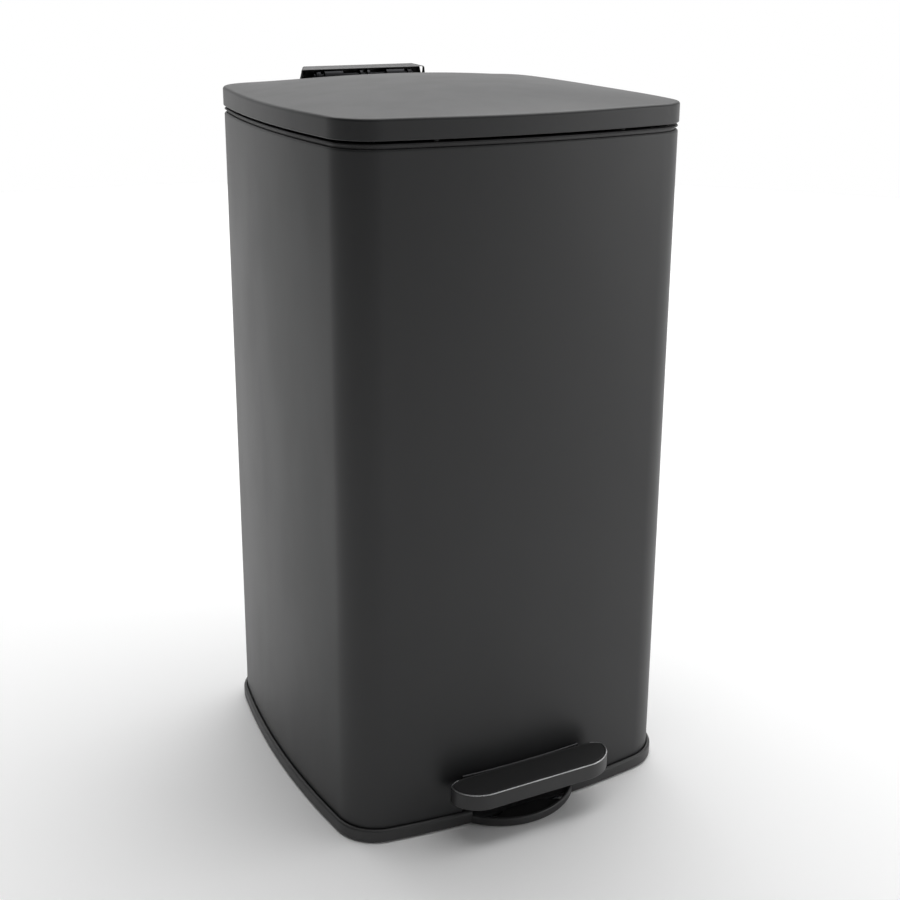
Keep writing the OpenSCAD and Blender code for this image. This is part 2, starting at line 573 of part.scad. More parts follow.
module lid_bracket() placed() color(steel) difference() {
    union() {
        block([-strap_out, plate_rear - 30, strap_z], [strap_out, plate_rear, strap_z + strap_t]);
        both() {
            side_plate([[plate_rear - 1, strap_z], [body_d/2 - 8, strap_z], [hinge_y, hinge_z - knuckle_r],
                        [hinge_y - knuckle_r, hinge_z], [body_d/2 + lid_out + 0.5, crown_z - 5],
                        [body_d/2 - 9, strap_z + strap_t], [plate_rear - 1, strap_z + strap_t]],
                       strap_in, strap_out);
            bar_x(hinge_y, hinge_z, knuckle_r, strap_in, strap_out);
            side_plate([[plate_rear - 12, strap_z + strap_t/2], [plate_rear + 0.5, strap_z + 0.5],
                        [rod_y - 5, crank_z - 2],
                        [rod_y, crank_z - 4], [hinge_y + 4, hinge_z - 3], [hinge_y, hinge_z + knuckle_r - 1],
                        [hinge_y - knuckle_r, hinge_z], [body_d/2 + lid_out + 0.5, crown_z - 4.5],
                        [rod_y - 4, crank_z + 6], [plate_rear - 12, strap_z + strap_t + 4]], fork_in, fork_out);
            bar_x(hinge_y, hinge_z, knuckle_r, fork_in, fork_out);
            bar_x(rod_y, crank_z, link_pin_d/2 + 2, fork_in, fork_out);
        }
    }
    bar_x(hinge_y, hinge_z, hinge_d/2 + fit, -60, 60);
    bar_x(rod_y, crank_z, link_pin_d/2, -9, 9);
    for (p = bracket_holes) translate([p[0], p[1], liner_z]) cylinder(d = screw_d, h = 9);
}
module bracket_screws() placed() color(steel) for (p = bracket_holes)
    translate([p[0], p[1], strap_z + strap_t]) screw(screw_d, strap_t + liner_t + 1);
module crank_pin() placed() color(steel) bar_x(rod_y, crank_z, link_pin_d/2, -fork_out - 1, fork_out + 1);
bumper_x = 0.25*body_w;
module lid_bumpers() placed() color(dark_rubber) for (x = [-bumper_x, bumper_x], s = [-1, 1])
    translate([x, s*front_y(x, -3.4), rim_top + 0.3]) cylinder(r = 2.4, h = liner_z - rim_top - 0.3);

/* Bucket */
bucket_half = body_w/2 - 8;
bucket_front = body_d/2 - 8;
bucket_hd = (body_d - 8 - rod_space)/2;
bucket_y = -bucket_front + bucket_hd;
bucket_top = body_top - bucket_drop;
flange = 8;
function bucket_outline(in) = rounded(bucket_half - in, bucket_hd - in, corner_r - 7 - in/2,
                                      side_bulge, front_bulge, side_steps, corner_steps);
module bucket_prism(in, z0, z1) {
    translate([0, bucket_y, z0]) linear_extrude(z1 - z0) polygon(bucket_outline(in));
}
bail_x = bucket_half - 8;
bail_z = bucket_top + bail_d/2 + gap;
bail_r = corner_r + 1;
bail_pin = bail_d/2 - 0.4;
bail_front = bucket_hd - 7.5;
module inner_bucket() placed() color(plastic) difference() {
    union() {
        bucket_prism(flange, deck_z + 0.1, bucket_top);
        bucket_prism(0, bucket_top - 3, bucket_top);
        translate([0, bucket_y, 0]) both()
            block([bail_x + bail_d/2 + gap, -5, bucket_top - 3], [bucket_half - 0.5, 5, bail_z + 5]);
    }
    bucket_prism(flange + bucket_t, deck_z + 0.1 + bucket_t, bucket_top + 1);
    translate([0, bucket_y, 0]) bar_x(0, bail_z, bail_pin + fit, -body_w, body_w);
}
module bucket_bail() placed() color(steel) translate([0, bucket_y, bail_z]) {
    both() {
        bar_x(0, 0, bail_pin, bail_x, bucket_half - 0.6);
        bar_y(bail_x, 0, bail_d/2, -bail_front + bail_r, bail_d/2);
        translate([bail_x - bail_r, -bail_front + bail_r, 0]) rotate([0, 0, -90])
            rotate_extrude(angle = 90) translate([bail_r, 0]) circle(d = bail_d);
    }
    bar_x(-bail_front, 0, bail_d/2, -bail_x + bail_r, bail_x - bail_r);
}
module bail_grip() placed() color(plastic) translate([0, bucket_y, bail_z]) difference() {
    bar_x(-bail_front, 0.6, bail_d/2 + 2, -45, 45);
    bar_x(-bail_front, 0, bail_d/2, -50, 50);
    block([-50, -bail_front - 9, -9], [50, -bail_front + 9, -bail_d/2 + 0.1]);
}

body_shell();
rim_ring();
base_ring();
foot_web();
base_deck();
deck_screws();
rubber_feet();
slot_trim();
axle_blocks();
axle_block_screws();
pedal_axle();
axle_clips();
pedal_lever();
pedal_pad();
pedal_tread();
pedal_trim();
pad_rivets();
lift_rod();
rod_foot();
rod_foot_pin();
rod_head();
rod_guides();
guide_screws();
damper_cylinder();
damper_cap();
damper_saddle();
damper_piston();
damper_clamp();
hinge_frame();
hinge_screws();
hinge_pin();
hinge_pin_clips();
hinge_cover();
cover_screws();
lid_shell();
lid_liner();
lid_bracket();
bracket_screws();
crank_pin();
lid_bumpers();
inner_bucket();
bucket_bail();
bail_grip();
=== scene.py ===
"""Looks of a rectangular pedal trash can: black coated sleeve and lid, plastic base, pedal and hinge cover."""

import logging
import math
from dataclasses import dataclass, field
from enum import Enum

import bpy
import numpy as np
from mathutils import Matrix, Vector


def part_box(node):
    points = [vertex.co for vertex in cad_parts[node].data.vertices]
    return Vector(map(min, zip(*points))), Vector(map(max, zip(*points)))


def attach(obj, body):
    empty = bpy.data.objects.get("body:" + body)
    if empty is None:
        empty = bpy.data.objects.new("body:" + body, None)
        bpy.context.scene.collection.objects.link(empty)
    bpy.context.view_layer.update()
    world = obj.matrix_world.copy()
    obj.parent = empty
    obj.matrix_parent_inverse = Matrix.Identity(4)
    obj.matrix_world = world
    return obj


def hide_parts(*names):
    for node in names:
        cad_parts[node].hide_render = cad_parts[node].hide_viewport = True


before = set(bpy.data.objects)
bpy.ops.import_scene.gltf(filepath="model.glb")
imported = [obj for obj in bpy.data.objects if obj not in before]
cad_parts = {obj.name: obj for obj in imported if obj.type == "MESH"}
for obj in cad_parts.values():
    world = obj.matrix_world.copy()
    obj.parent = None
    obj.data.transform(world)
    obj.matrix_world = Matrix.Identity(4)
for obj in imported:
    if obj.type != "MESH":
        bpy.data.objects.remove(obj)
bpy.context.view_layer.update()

LOG = logging.getLogger("trash_can")
MM = 0.001
SHARP = math.radians(38)
Triple = tuple[float, float, float]


# ---------------------------------------------------------------- shader nodes
class Wire:
    """A node socket, or a number, that can be used in arithmetic."""

    def __init__(self, shade: "Shade", socket: object) -> None:
        """Keeps the material and the socket that carries the value."""
        self.shade = shade
        self.socket = socket

    def _math(self, operation: str, *values: object) -> "Wire":
        """Adds a Math node.

        Args:
            operation: name of the Math node's operation.
            values: wires or numbers for its inputs, in order.

        Returns:
            The node's result.
        """
        return self.shade.node("ShaderNodeMath", {"operation": operation}, dict(enumerate(values)))

    def __add__(self, other: object) -> "Wire":
        """Sum."""
        return self._math("ADD", self, other)

    __radd__ = __add__

    def __mul__(self, other: object) -> "Wire":
        """Product."""
        return self._math("MULTIPLY", self, other)

    __rmul__ = __mul__

    def __sub__(self, other: object) -> "Wire":
        """Difference."""
        return self._math("SUBTRACT", self, other)

    def __rsub__(self, other: object) -> "Wire":
        """Difference from a number."""
        return self._math("SUBTRACT", other, self)

    def sine(self) -> "Wire":
        """Sine of the value in radians."""
        return self._math("SINE", self)

    def ramp(self, low: float, high: float, start: float, end: float) -> "Wire":
        """Maps low..high of the value smoothly to start..end.

        Args:
            low: value at which the result is start.
            high: value at which the result is end.
            start: result at or below low.
            end: result at or above high.

        Returns:
            The mapped value.
        """
        settings = {"interpolation_type": "SMOOTHSTEP", "clamp": True}
        values = {"Value": self, "From Min": low, "From Max": high, "To Min": start, "To Max": end}
        return self.shade.node("ShaderNodeMapRange", settings, values)


class Shade:
    """The node tree of one material, or of the world."""

    def __init__(self, name: str, world: bpy.types.World | None = None) -> None:
        """Makes a material that holds a Principled shader and its output, unless a world is given."""
        self.material = world or bpy.data.materials.new(name)
        self.material.use_nodes = True
        self.tree = self.material.node_tree
        self.principled = self.tree.nodes.get("Principled BSDF")

    def node(self, kind: str, settings: dict | None = None, values: dict | None = None,
             out: object = 0) -> Wire:
        """Adds a node.

        Args:
            kind: the node's type name.
            settings: attributes of the node, set before its sockets are filled.
            values: its input sockets by name or index, each a wire, a number or a tuple.
            out: name or index of the output to return.

        Returns:
            The chosen output.
        """
        made = self.tree.nodes.new(kind)
        for key, value in (settings or {}).items():
            setattr(made, key, value)
        for key, value in (values or {}).items():
            self._feed(made.inputs[key], value)
        return Wire(self, made.outputs[out])

    def _feed(self, socket: object, value: object) -> None:
        """Links a wire to a socket, or sets the socket's own value."""
        if isinstance(value, Wire):
            self.tree.links.new(value.socket, socket)
        else:
            socket.default_value = value

    def feed(self, **values: object) -> None:
        """Fills the Principled shader's sockets; an underscore in a name stands for a space."""
        for key, value in values.items():
            self._feed(self.principled.inputs[key.replace("_", " ")], value)

    def place(self) -> Wire:
        """Object coordinates, in metres."""
        return self.node("ShaderNodeTexCoord", out="Object")

    def stretched(self, scale: Triple, turn: Triple = (0.0, 0.0, 0.0)) -> Wire:
        """Object coordinates, scaled and turned.

        Args:
            scale: factor along each axis.
            turn: turn about each axis, in radians.

        Returns:
            The mapped coordinates.
        """
        values = {"Vector": self.place(), "Scale": scale, "Rotation": turn}
        return self.node("ShaderNodeMapping", None, values)

    def noise(self, scale: float, detail: float = 2.0, where: Wire | None = None) -> Wire:
        """Noise from 0 to 1, with its features about 1/scale metres apart."""
        values = {"Vector": where or self.place(), "Scale": scale, "Detail": detail}
        return self.node("ShaderNodeTexNoise", {"noise_dimensions": "3D"}, values)

    def mix(self, share: Wire, first: Triple, second: Triple) -> Wire:
        """Colour between two colours, by a share from 0 to 1."""
        made = self.tree.nodes.new("ShaderNodeMix")
        made.data_type = "RGBA"
        self._feed(made.inputs["Factor"], share)
        colour_inputs = [s for s in made.inputs if s.type == "RGBA"]
        for socket, colour in zip(colour_inputs, (first, second)):
            socket.default_value = (*colour, 1.0)
        return Wire(self, next(s for s in made.outputs if s.type == "RGBA"))

    def bump(self, height: Wire, depth: float, strength: float = 1.0) -> Wire:
        """Normal bumped by a height from 0 to 1, depth metres deep."""
        return self.node("ShaderNodeBump", None, {"Height": height, "Distance": depth, "Strength": strength})


# ---------------------------------------------------------------- finishes
def tint(colour: Triple, factor: float) -> Triple:
    """A colour multiplied by a factor."""
    return tuple(min(1.0, channel * factor) for channel in colour)


@dataclass(frozen=True)
class Grained:
    """Coated or moulded surface: fine grain, soft mottling and a little dust in its roughness.

    Attributes:
        name: the material's name.
        colour: base colour.
        rough: mean roughness.
        grain: size of the grain, in metres.
        relief: depth of the grain, in metres.
        wander: share by which the colour and the roughness vary.
        specular: the shader's specular level.
        metallic: 1 for bare metal.
    """

    name: str
    colour: Triple
    rough: float
    grain: float
    relief: float
    wander: float = 0.12
    specular: float = 0.5
    metallic: float = 0.0

    def build(self) -> bpy.types.Material:
        """Makes the material."""
        shade = Shade(self.name)
        cloud = shade.noise(9.0, 4.0)
        grit = shade.noise(1.0 / self.grain, 3.0)
        mottle = cloud.ramp(0.3, 0.7, 0.0, 0.75) + grit * 0.25
        low, high = tint(self.colour, 1.0 - self.wander), tint(self.colour, 1.0 + self.wander)
        smudge = shade.noise(28.0, 5.0, shade.stretched((1.0, 1.0, 0.35)))
        rough = smudge.ramp(0.35, 0.7, self.rough * (1 - self.wander / 2), self.rough * (1 + self.wander / 2))
        shade.feed(
            Base_Color=shade.mix(mottle, low, high),
            Roughness=rough + (grit - 0.5) * 0.04,
            Metallic=self.metallic,
            Specular_IOR_Level=self.specular,
            Normal=shade.bump(grit, self.relief),
        )
        return shade.material


@dataclass(frozen=True)
class Brushed:
    """Bare metal with fine scratches along one axis.

    Attributes:
        name: the material's name.
        colour: base colour.
        rough: mean roughness.
        along: factor of the scratches' frequency along each axis; the smallest is their direction.
    """

    name: str
    colour: Triple
    rough: float
    along: Triple = (0.03, 1.0, 1.0)

    def build(self) -> bpy.types.Material:
        """Makes the material."""
        shade = Shade(self.name)
        scratch = shade.noise(2200.0, 4.0, shade.stretched(self.along))
        bloom = shade.noise(60.0, 5.0)
        shade.feed(
            Base_Color=shade.mix(bloom.ramp(0.35, 0.75, 0.0, 1.0), self.colour, tint(self.colour, 0.78)),
            Roughness=scratch.ramp(0.3, 0.7, self.rough - 0.07, self.rough + 0.1),
            Metallic=1.0,
            Normal=shade.bump(scratch, 0.00002, 0.6),
        )
        return shade.material


@dataclass(frozen=True)
class Treaded:
    """Black rubber with very fine slanting ribs.

    Attributes:
        name: the material's name.
        colour: base colour.
        pitch: distance between ribs, in metres.
        slant: turn of the ribs about the vertical, in degrees.
    """

    name: str
    colour: Triple
    pitch: float
    slant: float

    def build(self) -> bpy.types.Material:
        """Makes the material; the ribs are a sine across the slanted direction."""
        shade = Shade(self.name)
        turned = shade.stretched((1.0, 1.0, 1.0), (0.0, 0.0, math.radians(self.slant)))
        across = shade.node("ShaderNodeSeparateXYZ", None, {"Vector": turned}, out="X")
        rib = (across * (2 * math.pi / self.pitch)).sine() * 0.5 + 0.5
        grit = shade.noise(2600.0, 3.0)
        shade.feed(
            Base_Color=shade.mix(rib * 0.6 + grit * 0.4, tint(self.colour, 0.6), tint(self.colour, 1.5)),
            Roughness=rib.ramp(0.0, 1.0, 0.66, 0.5),
            Normal=shade.bump(rib + grit * 0.3, 0.00008, 0.5),
        )
        return shade.material


class Finish(Enum):
    """The finishes, each with its record slot; BLACKENED is for CAD nodes, which keep their own slots."""

    COAT = "black_coat"
    PLASTIC = "black_plastic"
    SATIN = "satin_plastic"
    BUCKET = "bucket_plastic"
    RUBBER = "black_rubber"
    TREAD = "tread_rubber"
    TRIM = "bright_trim"
    EDGE_HIGHLIGHT = "grey_trim"
    ZINC = "zinc_steel"
    BLACKENED = "blackened"


RECIPES: dict[Finish, object] = {
    Finish.COAT: Grained("powder_coat", (0.0125, 0.0128, 0.0135), 0.42, 0.0007, 0.000018, 0.07, 0.5),
    Finish.PLASTIC: Grained("moulded_black", (0.028, 0.028, 0.0285), 0.44, 0.0009, 0.00002, 0.14, 0.5),
    Finish.SATIN: Grained("satin_black", (0.024, 0.024, 0.0245), 0.36, 0.0008, 0.000014, 0.1, 0.5),
    Finish.BUCKET: Grained("bucket_grey", (0.06, 0.061, 0.064), 0.45, 0.0012, 0.00002, 0.1, 0.5),
    Finish.RUBBER: Grained("foot_rubber", (0.014, 0.014, 0.014), 0.75, 0.0011, 0.00005, 0.25, 0.3),
    Finish.TREAD: Treaded("tread_rubber", (0.010, 0.010, 0.0105), 0.0011, 52.0),
    Finish.TRIM: Brushed("bright_trim", (0.62, 0.625, 0.63), 0.3),
    # Pale grey of the slot strip: a painted highlight for the light on the slot's top edge, not the strip's own
    # colour.
    Finish.EDGE_HIGHLIGHT: Grained("edge_strip_painted_highlight", (0.16, 0.16, 0.165), 0.45, 0.0006, 0.00001, 0.1),
    Finish.ZINC: Brushed("zinc_plate", (0.6, 0.61, 0.63), 0.36, (0.05, 0.6, 1.0)),
    Finish.BLACKENED: Brushed("blackened_steel", (0.045, 0.045, 0.048), 0.42, (0.05, 0.6, 1.0)),
}


class Paintbox:
    """Makes each finish once and dresses pieces with it."""

    def __init__(self) -> None:
        """Builds every material."""
        self.materials = {finish: recipe.build() for finish, recipe in RECIPES.items()}

    def fit(self, piece: bpy.types.Object, finish: Finish, body: str, *nodes: str) -> None:
        """Dresses a new piece and fits it to the can.

        Args:
            piece: the piece.
            finish: its finish, which also names its record slot.
            body: the body that it rides on.
            nodes: the CAD nodes that it stands for.
        """
        piece.data.materials.clear()
        piece.data.materials.append(self.materials[finish])
        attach(piece, body)
        if nodes:
            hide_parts(*nodes)
        LOG.info("%s rides on %s: %d faces", piece.name, body, len(piece.data.polygons))

    def redress(self, node: str, finish: Finish) -> None:
        """Puts a finish on a CAD node that stays."""
        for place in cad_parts[node].material_slots:
            place.material = self.materials[finish]


# ---------------------------------------------------------------- curves and surfaces
@dataclass(frozen=True)
class Outline:
    """Rounded rectangle with bowed sides, tangent all round; sizes in metres.

    Attributes:
        half_w: half width at the middle of the sides.
        half_d: half depth at the middle of the front.
        corner: radius of the corners.
        bow_x: how far the left and right sides bow out.
        bow_y: how far the front and rear bow out.
        centre_y: place of its centre.
    """

    half_w: float
    half_d: float
    corner: float
    bow_x: float
    bow_y: float
    centre_y: float

    def line(self, side: int = 48, corner: int = 20) -> tuple[np.ndarray, np.ndarray]:
        """Samples the outline counter-clockwise, from eight tangent arcs.

        Args:
            side: samples along each side.
            corner: samples round each corner.

        Returns:
            Points and outward unit normals, each of shape (n, 2); a point moved along its
            normal by a distance lies on the outline grown by that distance.
        """
        kx, ky = self.half_w - self.corner - self.bow_x, self.half_d - self.corner - self.bow_y
        rx, ry = (ky**2 + self.bow_x**2) / (2 * self.bow_x), (kx**2 + self.bow_y**2) / (2 * self.bow_y)
        ax, ay = math.asin(ky / rx), math.asin(kx / ry)
        quarter = math.pi / 2
        arcs = []
        for turn in range(4):
            even = turn % 2 == 0
            sign = (1, 1, -1, -1)[turn]
            edge, bend = (ax, ay) if even else (ay, ax)
            big = rx if even else ry
            offset = sign * (kx + self.bow_x - rx if even else ky + self.bow_y - ry)
            middle = (offset, 0.0) if even else (0.0, offset)
            knee = ((kx, ky), (-kx, ky), (-kx, -ky), (kx, -ky))[turn]
            start = turn * quarter
            arcs.append((middle, big + self.corner, start - edge, start + edge, side))
            arcs.append((knee, self.corner, start + edge, start + quarter - bend, corner))
        points, normals = [], []
        for centre, radius, first, last, count in arcs:
            angle = first + (last - first) * np.arange(count) / count
            normal = np.stack([np.cos(angle), np.sin(angle)], axis=1)
            normals.append(normal)
            points.append(np.array(centre) + radius * normal)
        shifted = np.concatenate(points) + np.array([0.0, self.centre_y])
        return shifted, np.concatenate(normals)

    def grown(self, distance: float) -> "Outline":
        """The outline grown all round by a distance."""
        return Outline(self.half_w + distance, self.half_d + distance, self.corner + distance,
                       self.bow_x, self.bow_y, self.centre_y)


def soften(points: list[tuple[float, float]], radii: list[float], steps: int = 5,
           closed: bool = True) -> np.ndarray:
    """Rounds the corners of a polyline with arcs, each with a support point before and after it.

    Args:
        points: corners, in order.
        radii: radius at each corner; 0 keeps it sharp.
        steps: segments in each arc.
        closed: whether the last corner joins the first.

    Returns:
        Points of the softened line, shape (n, 2).
    """
    corners = np.array(points, float)
    made: list[np.ndarray] = []
    for i, (corner, radius) in enumerate(zip(corners, radii)):
        ends = not closed and i in (0, len(corners) - 1)
        if radius <= 0 or ends:
            made.append(corner[None])
            continue
        back, ahead = corners[i - 1] - corner, corners[(i + 1) % len(corners)] - corner
        u, v = back / np.linalg.norm(back), ahead / np.linalg.norm(ahead)
        half = math.acos(float(np.clip(u @ v, -1, 1))) / 2
        cut = radius / math.tan(half)
        middle = corner + (u + v) / np.linalg.norm(u + v) * radius / math.sin(half)
        first, last = corner + u * cut - middle, corner + v * cut - middle
        sweep = math.pi - 2 * half
        share = np.linspace(0, 1, steps + 1)[:, None]
        arc = (np.sin((1 - share) * sweep) * first + np.sin(share * sweep) * last) / math.sin(sweep)
        lead = 0.3 * cut
        made.append((middle + first + u * lead)[None])
        made.append(middle + arc)
        made.append((middle + last + v * lead)[None])
    return np.concatenate(made)


def grid_faces(rows: int, columns: int, wrap_rows: bool) -> list[tuple[int, ...]]:
    """Quads of a grid whose columns close on themselves; faces point along column x row."""
    i, j = np.meshgrid(np.arange(rows if wrap_rows else rows - 1), np.arange(columns), indexing="ij")
    i, j = i.ravel(), j.ravel()
    up, on = (i + 1) % rows, (j + 1) % columns
    quads = np.stack([i * columns + j, i * columns + on, up * columns + on, up * columns + j], axis=1)
    return [tuple(q) for q in quads.tolist()]


def make_piece(name: str, vertices: np.ndarray, faces: list) -> bpy.types.Object:
    """Makes an object from vertices and faces, smooth but for its sharp edges.

    Where the volume, a sixth of the sum of a . (b x c) over its triangles, is negative, the faces
    are turned round, so that they point outwards.

    Args:
        name: the piece's name.
        vertices: shape (n, 3), in metres.
        faces: tuples of vertex numbers.

    Returns:
        The object, at the origin.
    """
    mesh = bpy.data.meshes.new(name)
    mesh.from_pydata(vertices.tolist(), [], faces)
    mesh.validate()
    mesh.calc_loop_triangles()
    corners = np.empty(len(mesh.loop_triangles) * 3, np.int32)
    mesh.loop_triangles.foreach_get("vertices", corners)
    a, b, c = vertices[corners].reshape(-1, 3, 3).transpose(1, 0, 2)
    if np.einsum("ij,ij->i", a, np.cross(b, c)).sum() < -1e-12:
        mesh.flip_normals()
    mesh.shade_smooth()
    mesh.set_sharp_from_angle(angle=SHARP)
    piece = bpy.data.objects.new(name, mesh)
    bpy.context.scene.collection.objects.link(piece)
    return piece


def lifted(flat: np.ndarray, height: float) -> np.ndarray:
    """Points of a flat loop, set at a height."""
    return np.c_[flat, np.full(len(flat), height)]


def band(name: str, line: tuple[np.ndarray, np.ndarray], section: np.ndarray) -> bpy.types.Object:
    """Carries a closed section round an outline.

    Args:
        name: the piece's name.
        line: points and outward normals of the outline.
        section: (distance outwards, height) points, counter-clockwise.

    Returns:
        The piece, closed both ways.
    """
    points, normals = line
    flat = points[None] + section[:, None, :1] * normals[None]
    height = np.broadcast_to(section[:, 1, None, None], (*flat.shape[:2], 1))
    vertices = np.concatenate([flat, height], axis=2)
    return make_piece(name, vertices.reshape(-1, 3), grid_faces(len(section), len(points), True))


def capped(name: str, rings: np.ndarray) -> bpy.types.Object:
    """Closed skin through rings, with a flat cap on the first and the last.

    Args:
        name: the piece's name.
        rings: shape (rows, columns, 3), each ring counter-clockwise seen from above.

    Returns:
        The piece.
    """
    rows, columns = rings.shape[:2]
    faces = grid_faces(rows, columns, False)
    faces.append(tuple(range(columns))[::-1])
    faces.append(tuple(range((rows - 1) * columns, rows * columns)))
    return make_piece(name, rings.reshape(-1, 3), faces)


def carve(piece: bpy.types.Object, *cutters: bpy.types.Object) -> None:
    """Cuts closed shapes out of a piece, one after another, and removes them.

    Args:
        piece: the piece to cut.
        cutters: closed shapes.
    """
    for cutter in cutters:
        cut = piece.modifiers.new("cut", "BOOLEAN")
        cut.operation, cut.solver, cut.object = "DIFFERENCE", "MANIFOLD", cutter
        bpy.context.view_layer.update()
        made = bpy.data.meshes.new_from_object(piece.evaluated_get(bpy.context.evaluated_depsgraph_get()))
        piece.modifiers.clear()
        piece.data = made
        bpy.data.objects.remove(cutter)
    piece.data.shade_smooth()
    piece.data.set_sharp_from_angle(angle=SHARP)


def box_tool(low: Triple, high: Triple) -> bpy.types.Object:
    """Box between two corners, used as a cutter."""
    x, y, z = zip(low, high)
    loop = np.array([(x[0], y[0]), (x[1], y[0]), (x[1], y[1]), (x[0], y[1])])
    return capped("tool", np.array([lifted(loop, level) for level in z]))


def turned_set(name: str, node: str, profile: np.ndarray, radius: float, count: int) -> list[bpy.types.Object]:
    """Turned buttons at the four corners of a CAD node's box.

    Args:
        name: start of their names.
        node: the CAD node.
        profile: (radius, height) points, from the bottom to the top.
        radius: how far their middles are from the box's sides.
        count: points round each ring.

    Returns:
        The four pieces.
    """
    low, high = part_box(node)
    angle = 2 * np.pi * np.arange(count) / count
    ring = np.c_[np.cos(angle), np.sin(angle)]
    places = [(sx * (high.x - radius), y) for sx in (-1, 1) for y in (low.y + radius, high.y - radius)]
    stacks = [np.array([lifted(np.array(place) + r * ring, z) for r, z in profile]) for place in places]
    return [capped(f"{name}_{number}", rings) for number, rings in enumerate(stacks, 1)]


def bevel(piece: bpy.types.Object, width: float) -> None:
    """Rounds a piece's sharp edges."""
    made = piece.modifiers.new("soft_edges", "BEVEL")
    made.width, made.segments, made.limit_method, made.angle_limit = width, 2, "ANGLE", SHARP
    made.harden_normals = True


# ---------------------------------------------------------------- the can
@dataclass(frozen=True)
class Measures:
    """Sizes shared by the sub-assemblies, read from the frame or set here, in metres."""

    corner: float = 36.5 * MM
    bow_x: float = 8.2 * MM
    bow_y: float = 8.75 * MM
    body_low: Vector = field(default_factory=lambda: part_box("body_shell")[0])
    body_high: Vector = field(default_factory=lambda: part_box("body_shell")[1])

    @property
    def centre_y(self) -> float:
        """Place of the body's centre."""
        return (self.body_low.y + self.body_high.y) / 2

    @property
    def outline(self) -> Outline:
        """Outline of the body's outer face."""
        half_d = (self.body_high.y - self.body_low.y) / 2
        return Outline(self.body_high.x, half_d, self.corner, self.bow_x, self.bow_y, self.centre_y)


@dataclass
class Sleeve:
    """The coated steel sleeve and the plastic collar in its top."""

    sizes: Measures
    sheet: float = 0.8 * MM
    lip: float = 4.0 * MM
    shoulder: float = 2.0 * MM
    slot_half: float = 56.0 * MM
    groove_tall: float = 2.1 * MM

    def build(self, paint: Paintbox) -> None:
        """Builds the sleeve and its collar."""
        self.sleeve(paint)
        self.collar(paint)
        self.slot_strip(paint)

    def sleeve(self, paint: Paintbox) -> None:
        """Thin wall with a rounded shoulder and a turned-in lip; the pedal slot is cut out of its front."""
        low, top = self.sizes.body_low.z, self.sizes.body_high.z
        sheet, under = self.sheet, top - self.sheet
        corners = [(0, low), (0, top), (-self.lip, top), (-self.lip, under), (-sheet - self.shoulder, under),
                   (-sheet, under - self.shoulder), (-sheet, low)]
        section = soften(corners, [0, self.shoulder, 0.3 * MM, 0, 0, 0, 0], 8)
        piece = band("body_sleeve", self.sizes.outline.line(), section)
        slot_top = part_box("slot_trim")[1].z + 0.1 * MM
        front = self.sizes.body_low.y
        carve(piece, box_tool((-self.slot_half, front - 0.02, low - 0.01),
                              (self.slot_half, front + 0.02, slot_top)))
        paint.fit(piece, Finish.COAT, "bin", "body_shell")

    def collar(self, paint: Paintbox) -> None:
        """Plastic collar: hanging skirt, dark groove and the bead that the lid's bumpers rest on."""
        low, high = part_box("rim_ring")
        top, seat = high.z, self.sizes.body_high.z
        bead, groove, skirt, inside = -0.2 * MM, -2.5 * MM, -4.1 * MM, -6.5 * MM
        bead_low = seat + self.groove_tall
        corners = [(skirt, low.z), (skirt, seat), (groove, seat), (groove, bead_low), (bead, bead_low),
                   (bead, top), (inside, top), (inside, low.z)]
        section = soften(corners, [0.4 * MM, 0, 0, 0, 0.6 * MM, 0.9 * MM, 0.8 * MM, 0.4 * MM], 4)
        piece = band("rim_collar", self.sizes.outline.line(), section)
        head_low, head_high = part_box("rod_head")
        carve(piece, box_tool((-8 * MM, head_low.y - 0.01, low.z - 0.01),
                              (8 * MM, head_high.y + 1.5 * MM, top + 0.01)))
        paint.fit(piece, Finish.PLASTIC, "bin", "rim_ring")

    def slot_strip(self, paint: Paintbox) -> None:
        """Strip that edges the top of the pedal slot; its pale grey colour is a painted highlight, standing in
        for the light caught on the slot's top edge.
        """
        low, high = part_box("slot_trim")
        points, normals = self.sizes.outline.line(160, 8)
        chosen = (points[:, 1] < self.sizes.centre_y) & (np.abs(points[:, 0]) < self.slot_half - 0.3 * MM)
        section = soften([(-1.0 * MM, low.z), (0.5 * MM, low.z), (0.5 * MM, high.z), (-1.0 * MM, high.z)],
                         [0, 0.35 * MM, 0.35 * MM, 0], 3)
        rings = points[chosen][:, None] + section[None, :, :1] * normals[chosen][:, None]
        height = np.broadcast_to(section[None, :, 1:], (*rings.shape[:2], 1))
        piece = capped("slot_strip", np.concatenate([rings, height], axis=2)[::-1])
        # The pale grey finish paints the highlight on the slot's top edge into the strip's colour.
        paint.fit(piece, Finish.EDGE_HIGHLIGHT, "bin", "slot_trim")


